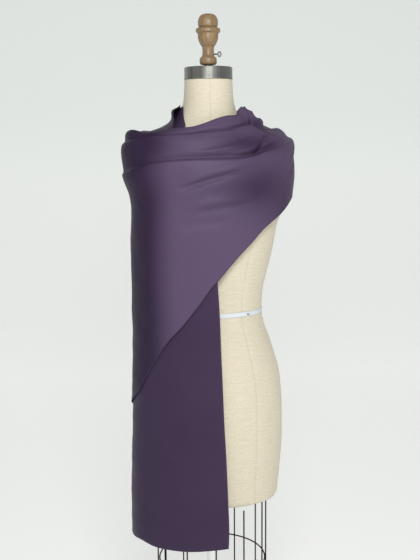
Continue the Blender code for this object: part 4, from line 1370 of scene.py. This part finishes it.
class STOLE_OT_thumb_screw(bpy.types.Operator):
    """Makes the thumb screw: a threaded shaft with an oval wire wing"""

    bl_idname = "stole.thumb_screw"
    bl_label = "Make the thumb screw"

    def execute(self, context):
        bm = bmesh.new()
        tip = STEM_RADIUS + GAP
        end = SCREW_LOOP - 0.0028
        outline = [(0.0, tip), (SCREW_RADIUS * 0.7, tip)]
        pitch = 0.0007
        turns = int((end - tip - 0.002) / pitch)
        for index in range(turns):
            start = tip + 0.0004 + pitch * index
            outline += [(SCREW_RADIUS * 0.82, start), (SCREW_RADIUS, start + pitch / 2)]
        outline += [(SCREW_RADIUS * 0.9, end - 0.001), (SCREW_RADIUS * 0.9, end + 0.0008), (0.0, end + 0.0008)]
        chain = [bm.verts.new((along, 0.0, SCREW_HEIGHT + radius)) for radius, along in outline]
        edges = [bm.edges.new(pair) for pair in zip(chain, chain[1:])]
        bmesh.ops.spin(
            bm, geom=chain + edges, cent=(0, 0, SCREW_HEIGHT), axis=(1, 0, 0), angle=math.tau, steps=24,
            use_merge=True,
        )
        bmesh.ops.remove_doubles(bm, verts=bm.verts, dist=0.00001)
        made = bmesh.ops.create_circle(bm, segments=14, radius=0.0018)
        ring = made["verts"]
        bmesh.ops.rotate(bm, verts=ring, matrix=Matrix.Rotation(math.radians(90.0), 3, "X"))
        bmesh.ops.translate(bm, verts=ring, vec=(0.0046, 0.0, 0.0))
        hoop_edges = list({edge for vert in ring for edge in vert.link_edges})
        spun_hoop = bmesh.ops.spin(
            bm, geom=ring + hoop_edges, cent=(0, 0, 0), axis=(0, 0, 1), angle=math.tau, steps=48,
            use_merge=True,
        )
        hoop = [vert for vert in bm.verts if (vert.co - Vector((0, 0, 0))).length < 0.05]
        bmesh.ops.rotate(bm, verts=hoop, matrix=Matrix.Rotation(math.radians(90.0), 3, "X"))
        bmesh.ops.scale(bm, verts=hoop, vec=(0.70, 1.0, 1.0))
        bmesh.ops.translate(bm, verts=hoop, vec=(SCREW_LOOP + 0.0003, 0.0, SCREW_HEIGHT))
        bmesh.ops.remove_doubles(bm, verts=bm.verts, dist=0.00001)
        bmesh.ops.recalc_face_normals(bm, faces=bm.faces)
        screw = finish_piece("steel_thumb_screw", bm, tarnished_finish(), 50.0)
        ride_and_replace(screw, "thumb_screw", "steel", "thumb_screw")
        return {"FINISHED"}


# ---- The stand


class STOLE_OT_stand(bpy.types.Operator):
    """Builds the pole and the round base"""

    bl_idname = "stole.stand"
    bl_label = "Build the stand"

    def execute(self, context):
        steps = context.scene.stand_settings.turning_steps
        low = BASE_THICKNESS
        outline = (
            (0.0, 0.0), (BASE_RADIUS - 0.001, 0.0), (BASE_RADIUS, 0.001), (BASE_RADIUS, low - 0.003),
            (BASE_RADIUS - 0.0009, low - 0.0009), (BASE_RADIUS - 0.003, low), (HUB_RADIUS + 0.006, low),
            (HUB_RADIUS + 0.002, low + 0.002), (HUB_RADIUS, low + 0.006),
            (HUB_RADIUS - 0.001, HUB_HEIGHT - 0.003), (HUB_RADIUS - 0.004, HUB_HEIGHT),
            (0.0, HUB_HEIGHT),
        )
        base = spun("steel_base_plate", outline, 2 * steps, powder_finish())
        ride_and_replace(base, "stand", "dark_steel", "base")
        bottom, top = HUB_HEIGHT + GAP, TORSO_BOTTOM - GAP
        outline = ((0.0, bottom), (POLE_RADIUS, bottom), (POLE_RADIUS, top), (0.0, top))
        pole = spun("steel_pole", outline, steps, chrome_finish())
        ride_and_replace(pole, "stand", "chrome", "pole")
        return {"FINISHED"}


class STOLE_OT_cage(bpy.types.Operator):
    """Builds the wire cage's rings and finishes its upright wires"""

    bl_idname = "stole.cage"
    bl_label = "Build the wire cage"

    def execute(self, context):
        enamel = enamel_finish()
        radius = CAGE_RADIUS - 2 * WIRE_RADIUS - GAP
        for name, height in RING_HEIGHTS.items():
            bm = bmesh.new()
            made = bmesh.ops.create_circle(bm, segments=10, radius=WIRE_RADIUS)
            ring = made["verts"]
            bmesh.ops.rotate(bm, verts=ring, matrix=Matrix.Rotation(math.radians(90.0), 3, "X"))
            bmesh.ops.translate(bm, verts=ring, vec=(radius, 0.0, height))
            bmesh.ops.spin(
                bm, geom=ring + bm.edges[:], cent=(0, 0, 0), axis=(0, 0, 1), angle=math.tau, steps=96,
                use_merge=True,
            )
            bmesh.ops.remove_doubles(bm, verts=bm.verts, dist=0.00001)
            bmesh.ops.recalc_face_normals(bm, faces=bm.faces)
            hoop = finish_piece("enamelled_" + name, bm, enamel)
            ride_and_replace(hoop, "stand", "wire", name)
        for index in range(CAGE_WIRES):
            wire = bpy.data.objects[f"cage_wire_{index + 1:02d}"]
            wire.data.materials.clear()
            wire.data.materials.append(enamel)
        return {"FINISHED"}


# ---- Floor, light and camera


class STOLE_OT_stage(bpy.types.Operator):
    """Sets the floor, the lights and the camera"""

    bl_idname = "stole.stage"
    bl_label = "Set the stage"

    def add_area(self, context, name, place, target, size, power):
        light = bpy.data.lights.new(name, "AREA")
        light.shape = "RECTANGLE"
        light.size, light.size_y = size
        light.energy = power
        lamp = bpy.data.objects.new(name, light)
        lamp.location = place
        lamp.rotation_euler = (Vector(target) - Vector(place)).to_track_quat("-Z", "Y").to_euler()
        context.scene.collection.objects.link(lamp)

    def execute(self, context):
        settings = context.scene.stage_settings
        bm = bmesh.new()
        outline = [(-6.0, 0.0), (3.4, 0.0)]
        for step in range(1, 9):
            turn = math.radians(90.0) * step / 8
            outline.append((3.4 + 1.2 * math.sin(turn), 1.2 * (1 - math.cos(turn))))
        outline.append((4.6, 6.0))
        chain = [bm.verts.new((-6.0, y, z - 0.0003)) for y, z in outline]
        edges = [bm.edges.new(pair) for pair in zip(chain, chain[1:])]
        made = bmesh.ops.extrude_edge_only(bm, edges=edges)
        far = [item for item in made["geom"] if isinstance(item, bmesh.types.BMVert)]
        bmesh.ops.translate(bm, verts=far, vec=(12.0, 0.0, 0.0))
        bmesh.ops.recalc_face_normals(bm, faces=bm.faces)
        sweep = finish_piece("backdrop_sweep", bm, backdrop_paper(settings), None)

        world = bpy.data.worlds.new("Studio room")
        world.use_nodes = True
        shade = world.node_tree.nodes["Background"]
        shade.inputs["Color"].default_value = linear_colour("f6f6f6")
        shade.inputs["Strength"].default_value = settings.sky
        context.scene.world = world
        context.scene.view_settings.view_transform = "Standard"
        self.add_area(context, "Key light", (-0.05, -1.80, 2.00), (0.0, 0.0, 1.10), (0.5, 0.5), settings.key_power)
        self.add_area(context, "Fill light", (0.9, -2.3, 0.8), (0.0, 0.0, 0.9), (1.2, 1.2), settings.fill_power)

        pitch, turn = math.radians(CAMERA_PITCH), math.radians(CAMERA_AZIMUTH)
        back = Vector((math.sin(turn) * math.cos(pitch), -math.cos(turn) * math.cos(pitch), math.sin(pitch)))
        right = Vector((0.0, 0.0, 1.0)).cross(back).normalized()
        up = back.cross(right)
        roll = math.radians(CAMERA_ROLL)
        level = right * math.cos(roll) - up * math.sin(roll)
        upright = up * math.cos(roll) + right * math.sin(roll)
        lens = bpy.data.cameras.new("Camera")
        lens.lens = CAMERA_LENS
        lens.sensor_width = 36.0
        camera = bpy.data.objects.new("Camera", lens)
        place = Matrix((level, upright, back)).transposed().to_4x4()
        place.translation = (
            math.sin(turn) * CAMERA_DISTANCE, -math.cos(turn) * CAMERA_DISTANCE, CAMERA_HEIGHT,
        )
        camera.matrix_world = place
        context.scene.collection.objects.link(camera)
        context.scene.camera = camera
        return {"FINISHED"}


class STOLE_PT_panel(bpy.types.Panel):
    """Lists the sizes, colours and pieces"""

    bl_idname = "STOLE_PT_panel"
    bl_label = "Dress form and stole"
    bl_space_type = "VIEW_3D"
    bl_region_type = "UI"
    bl_category = "Dress form"

    def draw(self, context):
        for owner in (
            context.scene.stole_settings, context.scene.form_settings,
            context.scene.stand_settings, context.scene.stage_settings,
        ):
            box = self.layout.box()
            for name in owner.__annotations__:
                box.prop(owner, name)
        for operator in PIECES:
            self.layout.operator(operator.bl_idname)


SETTINGS = {
    "stole_settings": StoleSettings,
    "form_settings": FormSettings,
    "stand_settings": StandSettings,
    "stage_settings": StageSettings,
}
PIECES = (
    STOLE_OT_stage,
    STOLE_OT_strip,
    STOLE_OT_torso,
    STOLE_OT_neck_fold,
    STOLE_OT_waist_tape,
    STOLE_OT_neck_cap,
    STOLE_OT_finial,
    STOLE_OT_thumb_screw,
    STOLE_OT_stand,
    STOLE_OT_cage,
)


def register():
    for group in (*SETTINGS.values(), *PIECES, STOLE_PT_panel):
        bpy.utils.register_class(group)
    for name, group in SETTINGS.items():
        setattr(bpy.types.Scene, name, PointerProperty(type=group))


def unregister():
    for name in SETTINGS:
        delattr(bpy.types.Scene, name)
    for group in reversed((*SETTINGS.values(), *PIECES, STOLE_PT_panel)):
        bpy.utils.unregister_class(group)


def main():
    register()
    bpy.ops.stole.stage()
    bpy.ops.stole.strip()
    bpy.ops.stole.torso()
    bpy.ops.stole.neck_fold()
    bpy.ops.stole.waist_tape()
    bpy.ops.stole.neck_cap()
    bpy.ops.stole.finial()
    bpy.ops.stole.thumb_screw()
    bpy.ops.stole.stand()
    bpy.ops.stole.cage()


if __name__ == "__main__":
    main()
